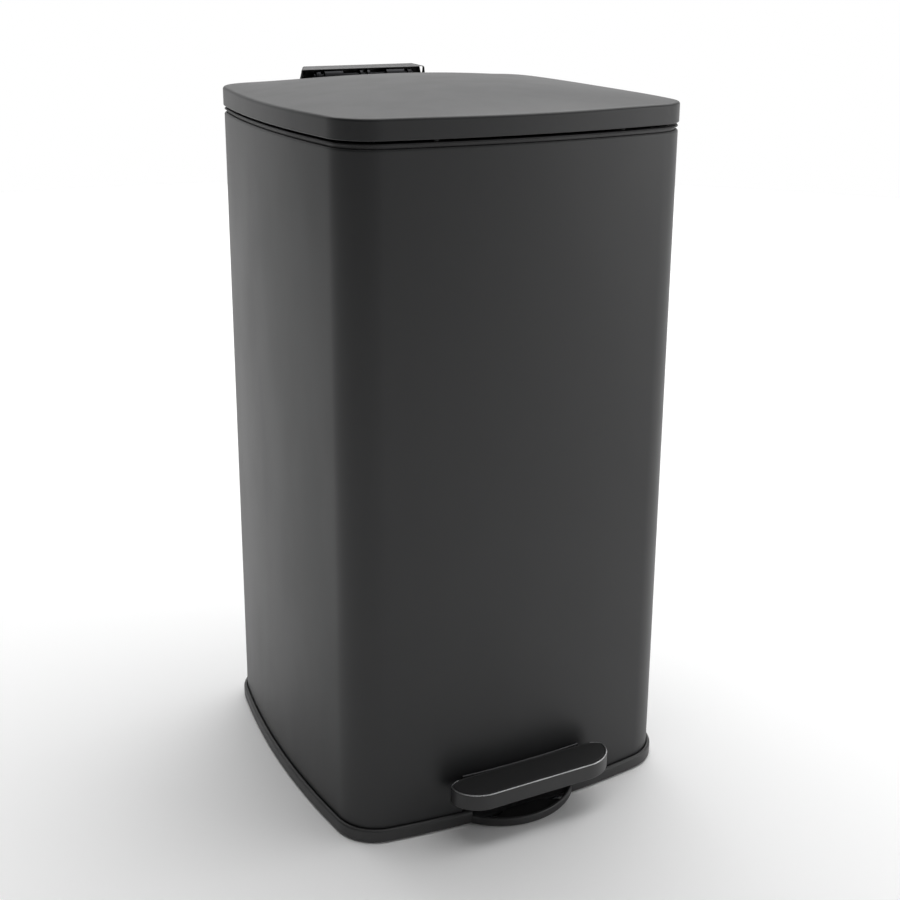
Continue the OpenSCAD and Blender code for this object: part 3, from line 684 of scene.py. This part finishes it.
@dataclass
class Lid:
    """The domed coated lid, its inner liner and its bumpers."""

    sizes: Measures
    sheet: float = 0.8 * MM
    edge: float = 2.2 * MM
    foot_edge: float = 0.8 * MM
    crown: float = 12.0 * MM
    inner: float = 30.0 * MM
    notch_half: float = 48.0 * MM

    def rise(self, flat: np.ndarray) -> np.ndarray:
        """Crown's height over its edge: (1 - x^2)(1 - |y|^3), with x and y as shares of the half sizes."""
        low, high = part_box("lid_shell")
        x = np.clip(np.abs(flat[..., 0]) / high.x, 0, 1)
        y = np.clip(np.abs(flat[..., 1] - self.sizes.centre_y) / ((high.y - low.y) / 2), 0, 1)
        return self.crown * (1 - x**2) * (1 - y**3)

    def rings(self, outline: Outline, spine: np.ndarray, shares: np.ndarray, top: float,
              skip: float) -> np.ndarray:
        """Rings of one face of the lid, from the skirt's foot to the middle of the crown.

        Args:
            outline: outline of that face's skirt.
            spine: (distance outwards, height) points up the skirt and over the edge.
            shares: shares of the outline for the crown's rings.
            top: height of the crown's edge.
            skip: height below which the crown's rise isn't added.

        Returns:
            Array of rings.
        """
        points, normals = outline.line()
        centre = np.array([0.0, outline.centre_y])
        made = []
        for out, height in spine:
            flat = points + out * normals
            lift = self.rise(flat) * (height > skip)
            made.append(np.c_[flat, height + lift])
        rim = points + spine[-1][0] * normals
        for share in shares:
            flat = centre + (rim - centre) * share
            made.append(np.c_[flat, top + self.rise(flat)])
        return np.array(made)

    def build(self, paint: Paintbox) -> None:
        """Builds the lid's skin, liner and bumpers."""
        self.skin(paint)
        self.liner(paint)
        self.bumpers(paint)

    def skin(self, paint: Paintbox) -> None:
        """Closed skin: inner face from the middle down, round the skirt's foot, and the outer face up."""
        low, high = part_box("lid_shell")
        top = high.z - self.crown
        outline = self.sizes.outline.grown(high.x - self.sizes.body_high.x)
        shares = np.concatenate([np.linspace(0.985, 0.1, 44), [0.02]])
        outer_spine = soften([(-self.sheet, low.z), (0, low.z), (0, top), (-3 * self.edge, top)],
                             [0, self.foot_edge * 0.9, self.edge, 0], 8, closed=False)
        outer_spine = outer_spine[outer_spine[:, 0] > -self.edge - 0.5 * MM]
        outer = self.rings(outline, outer_spine, shares, top, (low.z + top) / 2)
        inner_spine = np.array([(0, low.z + 0.3 * MM), (0, (low.z + top) / 2), (0, top - self.edge),
                                (-0.5 * self.edge, top - self.sheet)])
        inner = self.rings(outline.grown(-self.sheet), inner_spine, shares, top - self.sheet, (low.z + top) / 2)
        piece = capped("lid_skin", np.concatenate([inner[::-1], outer]))
        notch_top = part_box("lid_bracket")[1].z - 9.0 * MM
        rear = self.sizes.body_high.y
        carve(piece, box_tool((-self.notch_half, rear - 12 * MM, low.z - 0.01),
                              (self.notch_half, rear + 9 * MM, notch_top)))
        paint.fit(piece, Finish.COAT, "lid", "lid_shell")

    def liner(self, paint: Paintbox) -> None:
        """Plastic liner: a flat pan with a shallow channel round it and a wall against the skirt."""
        low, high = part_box("lid_liner")
        points, normals = self.sizes.outline.line()
        centre = np.array([0.0, self.sizes.centre_y])
        deep, thick = 0.9 * MM, 2.0 * MM
        lower = soften([(-self.inner, low.z), (-21 * MM, low.z), (-19.5 * MM, low.z + deep),
                        (-15.5 * MM, low.z + deep), (-14 * MM, low.z), (-0.3 * MM, low.z), (-0.3 * MM, high.z),
                        (-2.2 * MM, high.z), (-2.2 * MM, low.z + thick), (-self.inner, low.z + thick)],
                       [0, 1 * MM, 1 * MM, 1 * MM, 1 * MM, 0.8 * MM, 0.4 * MM, 0.4 * MM, 0, 0], 3, closed=False)
        rings = [lifted(points + out * normals, height) for out, height in lower]
        inner = points - self.inner * normals

        first = [lifted(centre + (inner - centre) * share, low.z) for share in (0.05, 0.5)]
        last = [lifted(centre + (inner - centre) * share, low.z + thick) for share in (0.5, 0.05)]
        piece = capped("lid_liner_pan", np.array(first + rings + last))
        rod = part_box("rod_head")
        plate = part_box("lid_bracket")
        rear = self.sizes.body_high.y + 0.02
        carve(piece,
              box_tool((-12 * MM, rod[0].y - 5 * MM, low.z - 0.01), (12 * MM, rear, high.z + 0.02)),
              box_tool((-self.notch_half, plate[1].y - 27.5 * MM, low.z - 0.01),
                       (self.notch_half, rear, high.z + 0.02)))
        paint.fit(piece, Finish.PLASTIC, "lid", "lid_liner")

    def bumpers(self, paint: Paintbox) -> None:
        """Four small rubber buttons under the liner, each a turned dome."""
        low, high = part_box("lid_bumpers")
        radius, pole, top = 2.4 * MM, 0.0004, high.z + 0.2 * MM
        corners = [(pole, low.z), (radius, low.z), (radius, top), (pole, top)]
        profile = soften(corners, [0, 1.2 * MM, 0, 0], 5, closed=False)
        for piece in turned_set("lid_bumper", "lid_bumpers", profile, radius, 24):
            paint.fit(piece, Finish.RUBBER, "lid", "lid_bumpers")


@dataclass
class Base:
    """Plastic base ring with its foot loop, the web inside the loop, the deck and the rubber feet."""

    sizes: Measures
    floor: float = 4.0 * MM
    stand_out: float = 3.4 * MM
    post_half: float = 48.0 * MM
    loop_half: float = 50.0 * MM
    loop_tall: float = 8.0 * MM
    loop_thick: float = 2.6 * MM
    inner: float = 30.0 * MM

    def build(self, paint: Paintbox) -> None:
        """Builds every piece of the base."""
        self.ring(paint)
        self.loop(paint)
        self.web(paint)
        self.deck(paint)
        self.feet(paint)

    def ring(self, paint: Paintbox) -> None:
        """Ring: rounded outer wall, groove for the sleeve and a flat floor; its front is open for the lever."""
        low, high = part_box("base_ring")
        corners = [(-14 * MM, low.z), (self.stand_out, low.z), (self.stand_out, high.z), (0.5 * MM, high.z),
                   (0.5 * MM, self.floor), (-14 * MM, self.floor)]
        section = soften(corners, [0.5 * MM, 1.6 * MM, 2.2 * MM, 0.35 * MM, 0, 0.5 * MM], 6)
        piece = band("base_ring_wall", self.sizes.outline.line(), section)
        front = self.sizes.body_low.y
        carve(piece, box_tool((-self.post_half, front - 0.03, self.floor),
                              (self.post_half, front + 6 * MM, high.z + 0.01)))
        bevel(piece, 0.4 * MM)
        paint.fit(piece, Finish.PLASTIC, "bin", "base_ring")

    def arc(self) -> tuple[float, float]:
        """Centre and outer radius of the foot loop, an arc through its two roots and its front."""
        low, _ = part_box("base_ring")
        root = self.sizes.body_low.y - 0.7 * MM
        depth = root - low.y
        radius = (self.loop_half**2 + depth**2) / (2 * depth)
        return low.y + radius, radius

    def loop(self, paint: Paintbox) -> None:
        """Foot loop: a rounded strip bent along the arc, both ends sunk in the ring's wall."""
        low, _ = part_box("base_ring")
        centre, radius = self.arc()
        reach = math.asin(self.loop_half / radius) + 0.02
        angle = np.linspace(-math.pi / 2 - reach, -math.pi / 2 + reach, 73)
        thick, tall = self.loop_thick, self.loop_tall
        section = soften([(-thick, low.z), (0, low.z), (0, tall), (-thick, tall)],
                         [0.5 * MM, 1.1 * MM, 1.2 * MM, 0.8 * MM], 4)
        spokes = radius + section[None, :, 0]
        rings = np.stack([spokes * np.cos(angle)[:, None], centre + spokes * np.sin(angle)[:, None],
                          np.broadcast_to(section[None, :, 1], (len(angle), len(section)))], axis=2)
        piece = capped("foot_loop", rings[::-1])
        paint.fit(piece, Finish.PLASTIC, "bin")

    def web(self, paint: Paintbox) -> None:
        """Dark web inside the loop: a wedge that widens from the ring to the loop."""
        low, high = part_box("foot_web")
        centre, radius = self.arc()
        inner = radius - self.loop_thick + 0.3 * MM
        spread = math.asin(34 * MM / inner)
        angle = np.linspace(-math.pi / 2 - spread, -math.pi / 2 + spread, 33)
        front = np.c_[inner * np.cos(angle), centre + inner * np.sin(angle)]
        back = np.array([(15 * MM, high.y + 1 * MM), (-15 * MM, high.y + 1 * MM)])
        loop = np.concatenate([front, back])
        piece = capped("loop_web", np.array([lifted(loop, z) for z in (low.z, high.z)]))
        bevel(piece, 0.5 * MM)
        paint.fit(piece, Finish.RUBBER, "bin", "foot_web")

    def deck(self, paint: Paintbox) -> None:
        """Deck that carries the bucket: a plate with a hanging skirt, open at the pedal and at the lift rod."""
        low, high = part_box("base_deck")
        points, normals = self.sizes.outline.line()
        centre = np.array([0.0, self.sizes.centre_y])
        wall, thick, out = 2.5 * MM, 3.0 * MM, -1.2 * MM
        spine = soften([(-self.inner, high.z - thick), (out - wall, high.z - thick), (out - wall, low.z),
                        (out, low.z), (out, high.z), (-self.inner, high.z)],
                       [0, 3 * MM, 0.6 * MM, 0.6 * MM, 3 * MM, 0], 5, closed=False)
        rings = [lifted(points + o * normals, z) for o, z in spine]
        inner = points - self.inner * normals
        under, over = (lifted(centre + (inner - centre) * 0.1, z) for z in (high.z - thick, high.z))
        piece = capped("deck_pan", np.array([under, *rings, over]))
        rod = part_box("rod_foot")
        front = self.sizes.body_low.y
        slot_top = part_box("slot_trim")[1].z
        carve(piece,
              box_tool((-59 * MM, front - 0.02, low.z - 0.01), (59 * MM, front + 0.03, slot_top)),
              box_tool((-14 * MM, rod[0].y - 4 * MM, high.z - 2 * thick),
                       (14 * MM, rod[1].y + 2 * MM, high.z + 0.01)))
        bevel(piece, 0.4 * MM)
        paint.fit(piece, Finish.PLASTIC, "bin", "base_deck")

    def feet(self, paint: Paintbox) -> None:
        """Four turned rubber feet."""
        low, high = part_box("rubber_feet")
        radius, pole = 5 * MM, 0.5 * MM
        corners = [(pole, low.z), (radius, low.z), (radius, high.z), (pole, high.z)]
        profile = soften(corners, [0, 0.4 * MM, 0, 0], 4, closed=False)
        for piece in turned_set("rubber_foot", "rubber_feet", profile, radius, 32):
            paint.fit(piece, Finish.RUBBER, "bin", "rubber_feet")


@dataclass
class Pedal:
    """The pedal's pad with its neck, inset tread and bright edge, riding on the lever."""

    sizes: Measures
    front_reach: float = 28 * MM
    front_deep: float = 23 * MM
    neck_half: float = 54.5 * MM
    wall: float = 3.0 * MM
    seat: float = 2.4 * MM

    def line(self) -> tuple[np.ndarray, np.ndarray]:
        """Pad's outline: quarter ellipses at the corners and straight front and rear edges.

        Returns:
            Points and outward unit normals, counter-clockwise from the right end.
        """
        low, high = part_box("pedal_pad")
        half, front = high.x, low.y
        rear = self.sizes.body_low.y - 3 * MM
        middle = front + self.front_deep
        rear_half = (half - self.neck_half, rear - middle)
        angle = np.linspace(0, np.pi / 2, 25)
        cos, sin = np.cos(angle), np.sin(angle)
        back = np.c_[self.neck_half + rear_half[0] * cos, middle + rear_half[1] * sin]
        ahead = np.c_[half - self.front_reach + self.front_reach * sin, middle - self.front_deep * cos]
        flat = np.linspace(-1, 1, 40)[1:-1, None]
        rear_edge = np.c_[-flat * self.neck_half, np.full(flat.shape, rear)]
        front_edge = np.c_[flat * (half - self.front_reach), np.full(flat.shape, front)]
        flip = np.array([-1.0, 1.0])
        points = np.concatenate([back, rear_edge, back[::-1] * flip, ahead[::-1][1:] * flip, front_edge,
                                 ahead[:-1]])
        along = np.roll(points, -1, axis=0) - np.roll(points, 1, axis=0)
        along /= np.linalg.norm(along, axis=1, keepdims=True)
        return points, np.c_[along[:, 1], -along[:, 0]]

    def rings(self, spine: np.ndarray) -> np.ndarray:
        """Rings of the outline moved outwards and set at heights."""
        points, normals = self.line()
        return np.array([lifted(points + out * normals, z) for out, z in spine])

    def build(self, paint: Paintbox) -> None:
        """Builds the pad, its tread, its bright edge and its neck."""
        low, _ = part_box("pedal_pad")
        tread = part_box("pedal_tread")
        top = tread[1].z
        roof = top - 7 * MM
        rim = top - 0.1 * MM
        spine = soften([(-self.wall, roof), (-self.wall, low.z), (0, low.z), (0, top - 0.9 * MM),
                        (-1.1 * MM, rim), (-self.seat, rim), (-self.seat, tread[0].z)],
                       [0, 0.8 * MM, 1.2 * MM, 0.5 * MM, 0.2 * MM, 0.2 * MM, 0], 4, closed=False)
        pad = capped("pedal_pad_shell", self.rings(spine))
        paint.fit(pad, Finish.SATIN, "pedal", "pedal_pad")
        inset = -self.seat - 0.15 * MM
        tread_spine = soften([(inset, tread[0].z), (inset, top), (-12 * MM, top)], [0, 0.5 * MM, 0], 4,
                             closed=False)[:-1]
        mat = capped("pedal_tread_mat", self.rings(tread_spine))
        paint.fit(mat, Finish.TREAD, "pedal", "pedal_tread")
        self.bright_edge(paint, top)
        self.neck(paint)

    def bright_edge(self, paint: Paintbox, top: float) -> None:
        """Thin bright bead on the pad's front and end edges; it stops at the rear corners."""
        points, normals = self.line()
        rear = points[:, 1].max()
        keep = np.flatnonzero(points[:, 1] < rear - 1.2 * MM)
        keep = keep[np.argsort(np.arctan2(points[keep, 1] - rear - 0.02, points[keep, 0]))]
        foot, crest = top - 0.6 * MM, top + 0.02 * MM
        section = soften([(-0.9 * MM, foot), (-0.1 * MM, foot), (-0.75 * MM, crest), (-1.35 * MM, crest),
                          (-1.35 * MM, top - 0.4 * MM)],
                         [0, 0.1 * MM, 0.25 * MM, 0.1 * MM, 0], 3)
        flat = points[keep][:, None] + section[None, :, :1] * normals[keep][:, None]
        height = np.broadcast_to(section[None, :, 1:], (*flat.shape[:2], 1))
        piece = capped("pedal_bright_edge", np.concatenate([flat, height], axis=2)[::-1])
        paint.fit(piece, Finish.TRIM, "pedal", "pedal_trim")

    def neck(self, paint: Paintbox) -> None:
        """Neck: a flat tongue with turned-down sides, from the pad into the sleeve."""
        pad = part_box("pedal_pad")
        top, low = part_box("slot_trim")[0].z - 0.9 * MM, pad[0].z + 3 * MM
        rear, front = pad[1].y, self.sizes.body_low.y - 8 * MM
        half, wall = self.neck_half, self.wall
        section = soften([(half, low), (half, top), (-half, top), (-half, low), (-half + wall, low),
                          (-half + wall, top - wall), (half - wall, top - wall), (half - wall, low)],
                         [0.5 * MM, 1.5 * MM, 1.5 * MM, 0.5 * MM, 0.5 * MM, 0, 0, 0.5 * MM], 4)
        rings = np.array([np.c_[section[:, 0], np.full(len(section), y), section[:, 1]] for y in (rear, front)])
        piece = capped("pedal_neck", rings)
        paint.fit(piece, Finish.SATIN, "pedal")


@dataclass
class HingeCover:
    """Splayed hood over the hinge at the rear: closed back and top, open to the lid and below."""

    sizes: Measures
    wall: float = 2.5 * MM
    thin: float = 0.9 * MM
    splay: float = 9.0 * MM
    flare: float = 6.0 * MM
    round: float = 2.0 * MM
    lip: float = 2.2 * MM
    fall: float = 1.8 * MM
    stand_off: float = 4.5 * MM

    def section(self, inset: float, drop: float, flare: float, dip: float) -> np.ndarray:
        """Outline seen from behind, as (x, height): upright sides that lean in above the rim.

        Args:
            inset: distance inwards.
            drop: how far the lower edge is moved down.
            flare: how much wider the top's half is, up to the splay.
            dip: how far the top is moved down.

        Returns:
            Points of the closed outline.
        """
        low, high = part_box("hinge_cover")
        half, knee = high.x - inset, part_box("rim_ring")[1].z - 4 * MM
        top_half = high.x - self.splay + flare - inset
        top = high.z - inset - dip
        corners = [(-half, low.z - drop), (half, low.z - drop), (half, knee), (top_half, top), (-top_half, top),
                   (-half, knee)]
        upper = self.round - min(inset, 1.5 * MM)
        radii = [0.8 * MM, 0.8 * MM, 12 * MM, upper, upper, 12 * MM]
        return soften(corners, radii, 6)

    def solid(self, name: str, steps: list[tuple[float, ...]], drop: float = 0.0) -> bpy.types.Object:
        """Solid through sections from the front to the back, its top falling evenly towards the front.

        Args:
            name: the piece's name.
            steps: (inset, y, flare) of each section.
            drop: how far the lower edge is moved down.

        Returns:
            The piece.
        """
        back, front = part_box("hinge_cover")[1].y - self.round, self.sizes.body_high.y + self.stand_off
        dips = [self.fall * float(np.clip((back - y) / (back - front), 0, 1)) for _, y, _ in steps]
        rings = [self.section(step[0], drop, step[2], dip) for step, dip in zip(steps, dips)]
        made = [np.c_[ring[:, 0], np.full(len(ring), y), ring[:, 1]] for ring, (_, y, _) in zip(rings, steps)]
        return capped(name, np.array(made)[::-1])

    def build(self, paint: Paintbox) -> None:
        """Builds the hood as a rounded solid with its inside, the sleeve's face and the lid's room cut away."""
        low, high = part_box("hinge_cover")
        back, front = high.y, low.y
        rim_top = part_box("rim_ring")[1].z
        open_y = self.sizes.body_high.y + self.stand_off
        turn = np.linspace(0, np.pi / 2, 7)
        bend = self.round
        edge = [(bend * (1 - math.cos(a)), back - bend + bend * math.sin(a), 0.0) for a in turn]
        lip = [(self.lip * (1 - math.sin(a)), open_y + self.lip * (1 - math.cos(a)), self.flare) for a in turn]
        piece = self.solid("hinge_hood", [(self.lip, front, self.flare), *lip, *edge])
        inner = [(self.thin, front - 0.01, self.flare), (self.thin, open_y + 6 * MM, self.flare),
                 (self.wall, back - self.wall, 0.0)]
        inside = self.solid("tool", inner, 0.05)
        sleeve = self.sizes.outline.grown(0.05 * MM).line()[0]
        body = capped("tool", np.array([lifted(sleeve, z) for z in (0.3, rim_top)]))
        room = box_tool((-0.1, front - 0.02, rim_top - 4 * MM), (0.1, open_y, high.z + 0.01))
        carve(piece, inside, body, room)
        bevel(piece, 0.5 * MM)
        paint.fit(piece, Finish.SATIN, "bin", "hinge_cover")


@dataclass
class Bucket:
    """The lift-out bucket and its bail."""

    sizes: Measures
    wall: float = 2.0 * MM
    flange: float = 8.0 * MM

    def build(self, paint: Paintbox) -> None:
        """Builds the bucket, its ears, the bail and its grip."""
        self.bucket(paint)
        self.ears(paint)
        self.bail(paint)

    def bucket(self, paint: Paintbox) -> None:
        """Thin wall with a rolled rim and a rounded foot, closed below."""
        low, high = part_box("inner_bucket")
        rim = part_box("bucket_bail")[0].z - 0.4 * MM
        half_d = (high.y - low.y) / 2
        outline = Outline(high.x, half_d, 29.5 * MM, self.sizes.bow_x, self.sizes.bow_y, (high.y + low.y) / 2)
        points, normals = outline.line()
        centre = np.array([0.0, outline.centre_y])
        inner = -self.flange - self.wall
        spine = soften([(-24 * MM, low.z), (-self.flange - 3 * MM, low.z), (-self.flange, rim - 12 * MM),
                        (-self.flange, rim - 3 * MM), (0, rim - 3 * MM), (0, rim), (inner, rim),
                        (inner, rim - 12 * MM), (inner - 3 * MM, low.z + self.wall),
                        (-24 * MM, low.z + self.wall)],
                       [0, 9 * MM, 0, 1.5 * MM, 0.8 * MM, 1.4 * MM, 1.2 * MM, 0, 7 * MM, 0], 6, closed=False)
        rings = [lifted(points + out * normals, z) for out, z in spine]
        foot = points - 24 * MM * normals
        ends = [lifted(centre + (foot - centre) * 0.05, z) for z in (low.z, low.z + self.wall)]
        piece = capped("bucket_shell", np.array([ends[0], *rings, ends[1]]))
        paint.fit(piece, Finish.BUCKET, "bucket", "inner_bucket")

    def ears(self, paint: Paintbox) -> None:
        """Two rounded ears on the rim that hold the bail's ends."""
        low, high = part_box("inner_bucket")
        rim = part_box("bucket_bail")[0].z - 0.4 * MM
        middle = (low.y + high.y) / 2
        corners = [(-5 * MM, rim - 2 * MM), (5 * MM, rim - 2 * MM), (5 * MM, high.z), (-5 * MM, high.z)]
        section = soften(corners, [0, 0, 3.5 * MM, 3.5 * MM], 6)
        for side, name in ((-1, "left"), (1, "right")):
            places = sorted((side * (high.x - 5.1 * MM), side * (high.x - 0.5 * MM)))
            rings = [np.c_[np.full(len(section), x), middle + section[:, 0], section[:, 1]] for x in places]
            piece = capped(f"bail_ear_{name}", np.array(rings))
            bevel(piece, 0.4 * MM)
            paint.fit(piece, Finish.BUCKET, "bucket")

    def bail(self, paint: Paintbox) -> None:
        """Wire bail bent round the front of the rim, its ends turned out into the ears, and a moulded grip."""
        low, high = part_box("bucket_bail")
        middle_z = (low.z + high.z) / 2
        radius = (high.z - low.z) / 2
        pivot_y = high.y - radius
        leg_x = high.x - 0.6 * MM - 6.4 * MM
        front = low.y + radius
        bend = 37.5 * MM
        corners = [(high.x, pivot_y), (leg_x, pivot_y), (leg_x, front), (-leg_x, front), (-leg_x, pivot_y),
                   (-high.x, pivot_y)]
        path = soften(corners, [0, 3 * MM, bend, bend, 3 * MM, 0], 14, closed=False)
        along = np.gradient(path, axis=0)
        along /= np.linalg.norm(along, axis=1, keepdims=True)
        side = np.c_[along[:, 1], -along[:, 0]]
        angle = 2 * np.pi * np.arange(16) / 16
        offset = radius * np.cos(angle)[None, :, None] * side[:, None]
        flat = path[:, None] + offset
        height = np.broadcast_to(middle_z + radius * np.sin(angle)[None, :, None], (*flat.shape[:2], 1))
        wire = capped("bail_wire", np.concatenate([flat, height], axis=2))
        paint.fit(wire, Finish.ZINC, "bail", "bucket_bail")
        self.grip(paint, front, middle_z, radius)

    def grip(self, paint: Paintbox, front: float, height: float, radius: float) -> None:
        """Moulded grip: a barrel turned about the wire with shallow finger waves."""
        low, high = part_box("bail_grip")
        turn = 2 * np.pi * np.arange(28) / 28
        place = np.linspace(low.x, high.x, 65)
        share = (place - low.x) / (high.x - low.x)
        ends = np.sqrt(np.clip(1 - np.abs(2 * share - 1) ** 14, 0, 1))
        size = (radius + 0.2 * MM) + 1.7 * MM * ends * (0.9 + 0.1 * np.cos(8 * np.pi * share))
        rings = np.stack([np.broadcast_to(place[:, None], (65, 28)), front + size[:, None] * np.cos(turn),
                          height + 0.3 * MM + size[:, None] * np.sin(turn)], axis=2)
        piece = capped("bail_grip_barrel", rings[::-1])
        paint.fit(piece, Finish.PLASTIC, "bail", "bail_grip")


@dataclass
class Mechanism:
    """The lever, rod, damper and hinge pieces, which keep their CAD shapes and get real finishes."""

    steel: tuple[str, ...] = (
        "deck_screws", "axle_block_screws", "pedal_axle", "axle_clips", "pedal_lever", "pad_rivets", "lift_rod",
        "rod_foot_pin", "rod_head", "damper_cylinder", "damper_piston", "bracket_screws", "crank_pin")
    blackened: tuple[str, ...] = (
        "hinge_frame", "hinge_screws", "hinge_pin", "hinge_pin_clips", "cover_screws", "lid_bracket",
        "guide_screws")
    plastic: tuple[str, ...] = (
        "axle_blocks", "rod_foot", "rod_guides", "damper_cap", "damper_saddle", "damper_clamp")

    def build(self, paint: Paintbox) -> None:
        """Dresses every piece of the mechanism."""
        finishes = (Finish.ZINC, Finish.BLACKENED, Finish.PLASTIC)
        for nodes, finish in zip((self.steel, self.blackened, self.plastic), finishes):
            for node in nodes:
                paint.redress(node, finish)


@dataclass
class Studio:
    """Camera, pale floor and soft lights."""

    sizes: Measures
    lens: float = 54.787
    shift: tuple[float, float] = (-0.0095, -0.1033)
    dark_side: tuple[float, float] = (-0.89, -0.456)
    bright: float = 1.0
    high: float = 0.5
    dim: float = 0.2
    floor: float = 3.2
    azimuth: float = -27.14
    elevation: float = 16.49
    roll: float = 0.45
    distance: float = 1.32361
    target: Triple = (66.07 * MM, 95.51 * MM, 325.39 * MM)

    def camera(self) -> None:
        """Camera above and to the left of the front, level but for a slight roll."""
        azimuth, elevation, roll = map(math.radians, (self.azimuth, self.elevation, self.roll))
        flat = math.cos(elevation)
        back = Vector((math.sin(azimuth) * flat, -math.cos(azimuth) * flat, math.sin(elevation)))
        target = Vector((self.target[0], self.target[1] + self.sizes.centre_y, self.target[2]))
        right = (-back).cross(Vector((0, 0, 1))).normalized()
        up = right.cross(-back)
        turned = right * math.cos(roll) + up * math.sin(roll)
        upright = up * math.cos(roll) - right * math.sin(roll)
        data = bpy.data.cameras.new("camera")
        data.lens, data.sensor_width = self.lens, 36.0
        data.shift_x, data.shift_y = self.shift
        camera = bpy.data.objects.new("camera", data)
        place = target + back * self.distance
        rows = [(*axis, place[i]) for i, axis in enumerate(zip(turned, upright, back))]
        camera.matrix_world = Matrix(rows + [(0, 0, 0, 1)])
        bpy.context.scene.collection.objects.link(camera)
        bpy.context.scene.camera = camera

    def light(self, name: str, place: Triple, size: tuple[float, float], power: float,
              aim: Triple = (0, 0, 0.3)) -> None:
        """Adds a soft rectangular light.

        Args:
            name: its name.
            place: where it stands.
            size: its width and height.
            power: its power in watts.
            aim: the point that it faces.
        """
        data = bpy.data.lights.new(name, "AREA")
        data.shape, data.size, data.size_y, data.energy = "RECTANGLE", *size, power
        lamp = bpy.data.objects.new(name, data)
        lamp.location = place
        lamp.rotation_mode = "QUATERNION"
        lamp.rotation_quaternion = (Vector(aim) - Vector(place)).to_track_quat("-Z", "Y")
        bpy.context.scene.collection.objects.link(lamp)

    def build(self) -> None:
        """Builds the floor, the world and the lights."""
        angle = 2 * np.pi * np.arange(64) / 64
        loop = np.c_[self.floor * np.cos(angle), self.floor * np.sin(angle), np.full(64, -0.0002)]
        floor = make_piece("studio_floor", loop, [tuple(range(64))])
        shade = Shade("pale_floor")
        shade.feed(Base_Color=(0.97, 0.97, 0.97, 1.0), Roughness=0.8)
        floor.data.materials.append(shade.material)
        self.surroundings()
        self.light("top_box", (1.2, 1.6, 3.4), (5.0, 5.0), 170.0, (0.9, 1.6, 0.0))
        self.light("rear_box", (-1.0, 7.5, 3.6), (9.0, 5.0), 250.0, (-1.0, 8.5, 0.0))
        self.light("right_box", (2.6, -1.9, 0.9), (1.6, 1.6), 15.0)
        bpy.context.scene.view_settings.view_transform = "Standard"

    def surroundings(self) -> None:
        """Even pale surroundings, darker towards one side and overhead, as a room is round a white set.

        The strength is the product of two smooth ramps: one of the direction's share along the
        dark side, one of its height.
        """
        shade = Shade("studio_sky", bpy.data.worlds.new("studio_sky"))
        direction = shade.node("ShaderNodeTexCoord", out="Generated")
        along = {0: direction, 1: (*self.dark_side, 0.0)}
        share = shade.node("ShaderNodeVectorMath", {"operation": "DOT_PRODUCT"}, along, "Value")
        height = shade.node("ShaderNodeSeparateXYZ", None, {"Vector": direction}, "Z")
        strength = share.ramp(-0.4, 0.75, 1.0, self.dim) * height.ramp(0.04, 0.25, self.bright, self.high)
        background = shade.tree.nodes["Background"]
        background.inputs["Color"].default_value = (1.0, 1.0, 1.0, 1.0)
        shade.tree.links.new(strength.socket, background.inputs["Strength"])
        bpy.context.scene.world = shade.material


def main() -> None:
    """Builds the classes in order."""
    logging.basicConfig(level=logging.INFO, format="%(message)s")
    sizes = Measures()
    studio = Studio(sizes)
    studio.camera()
    paint = Paintbox()
    assemblies = [kind(sizes) for kind in (Sleeve, Lid, Base, Pedal, HingeCover, Bucket)]
    for assembly in (*assemblies, Mechanism()):
        assembly.build(paint)
    studio.build()


if __name__ == "__main__":
    main()
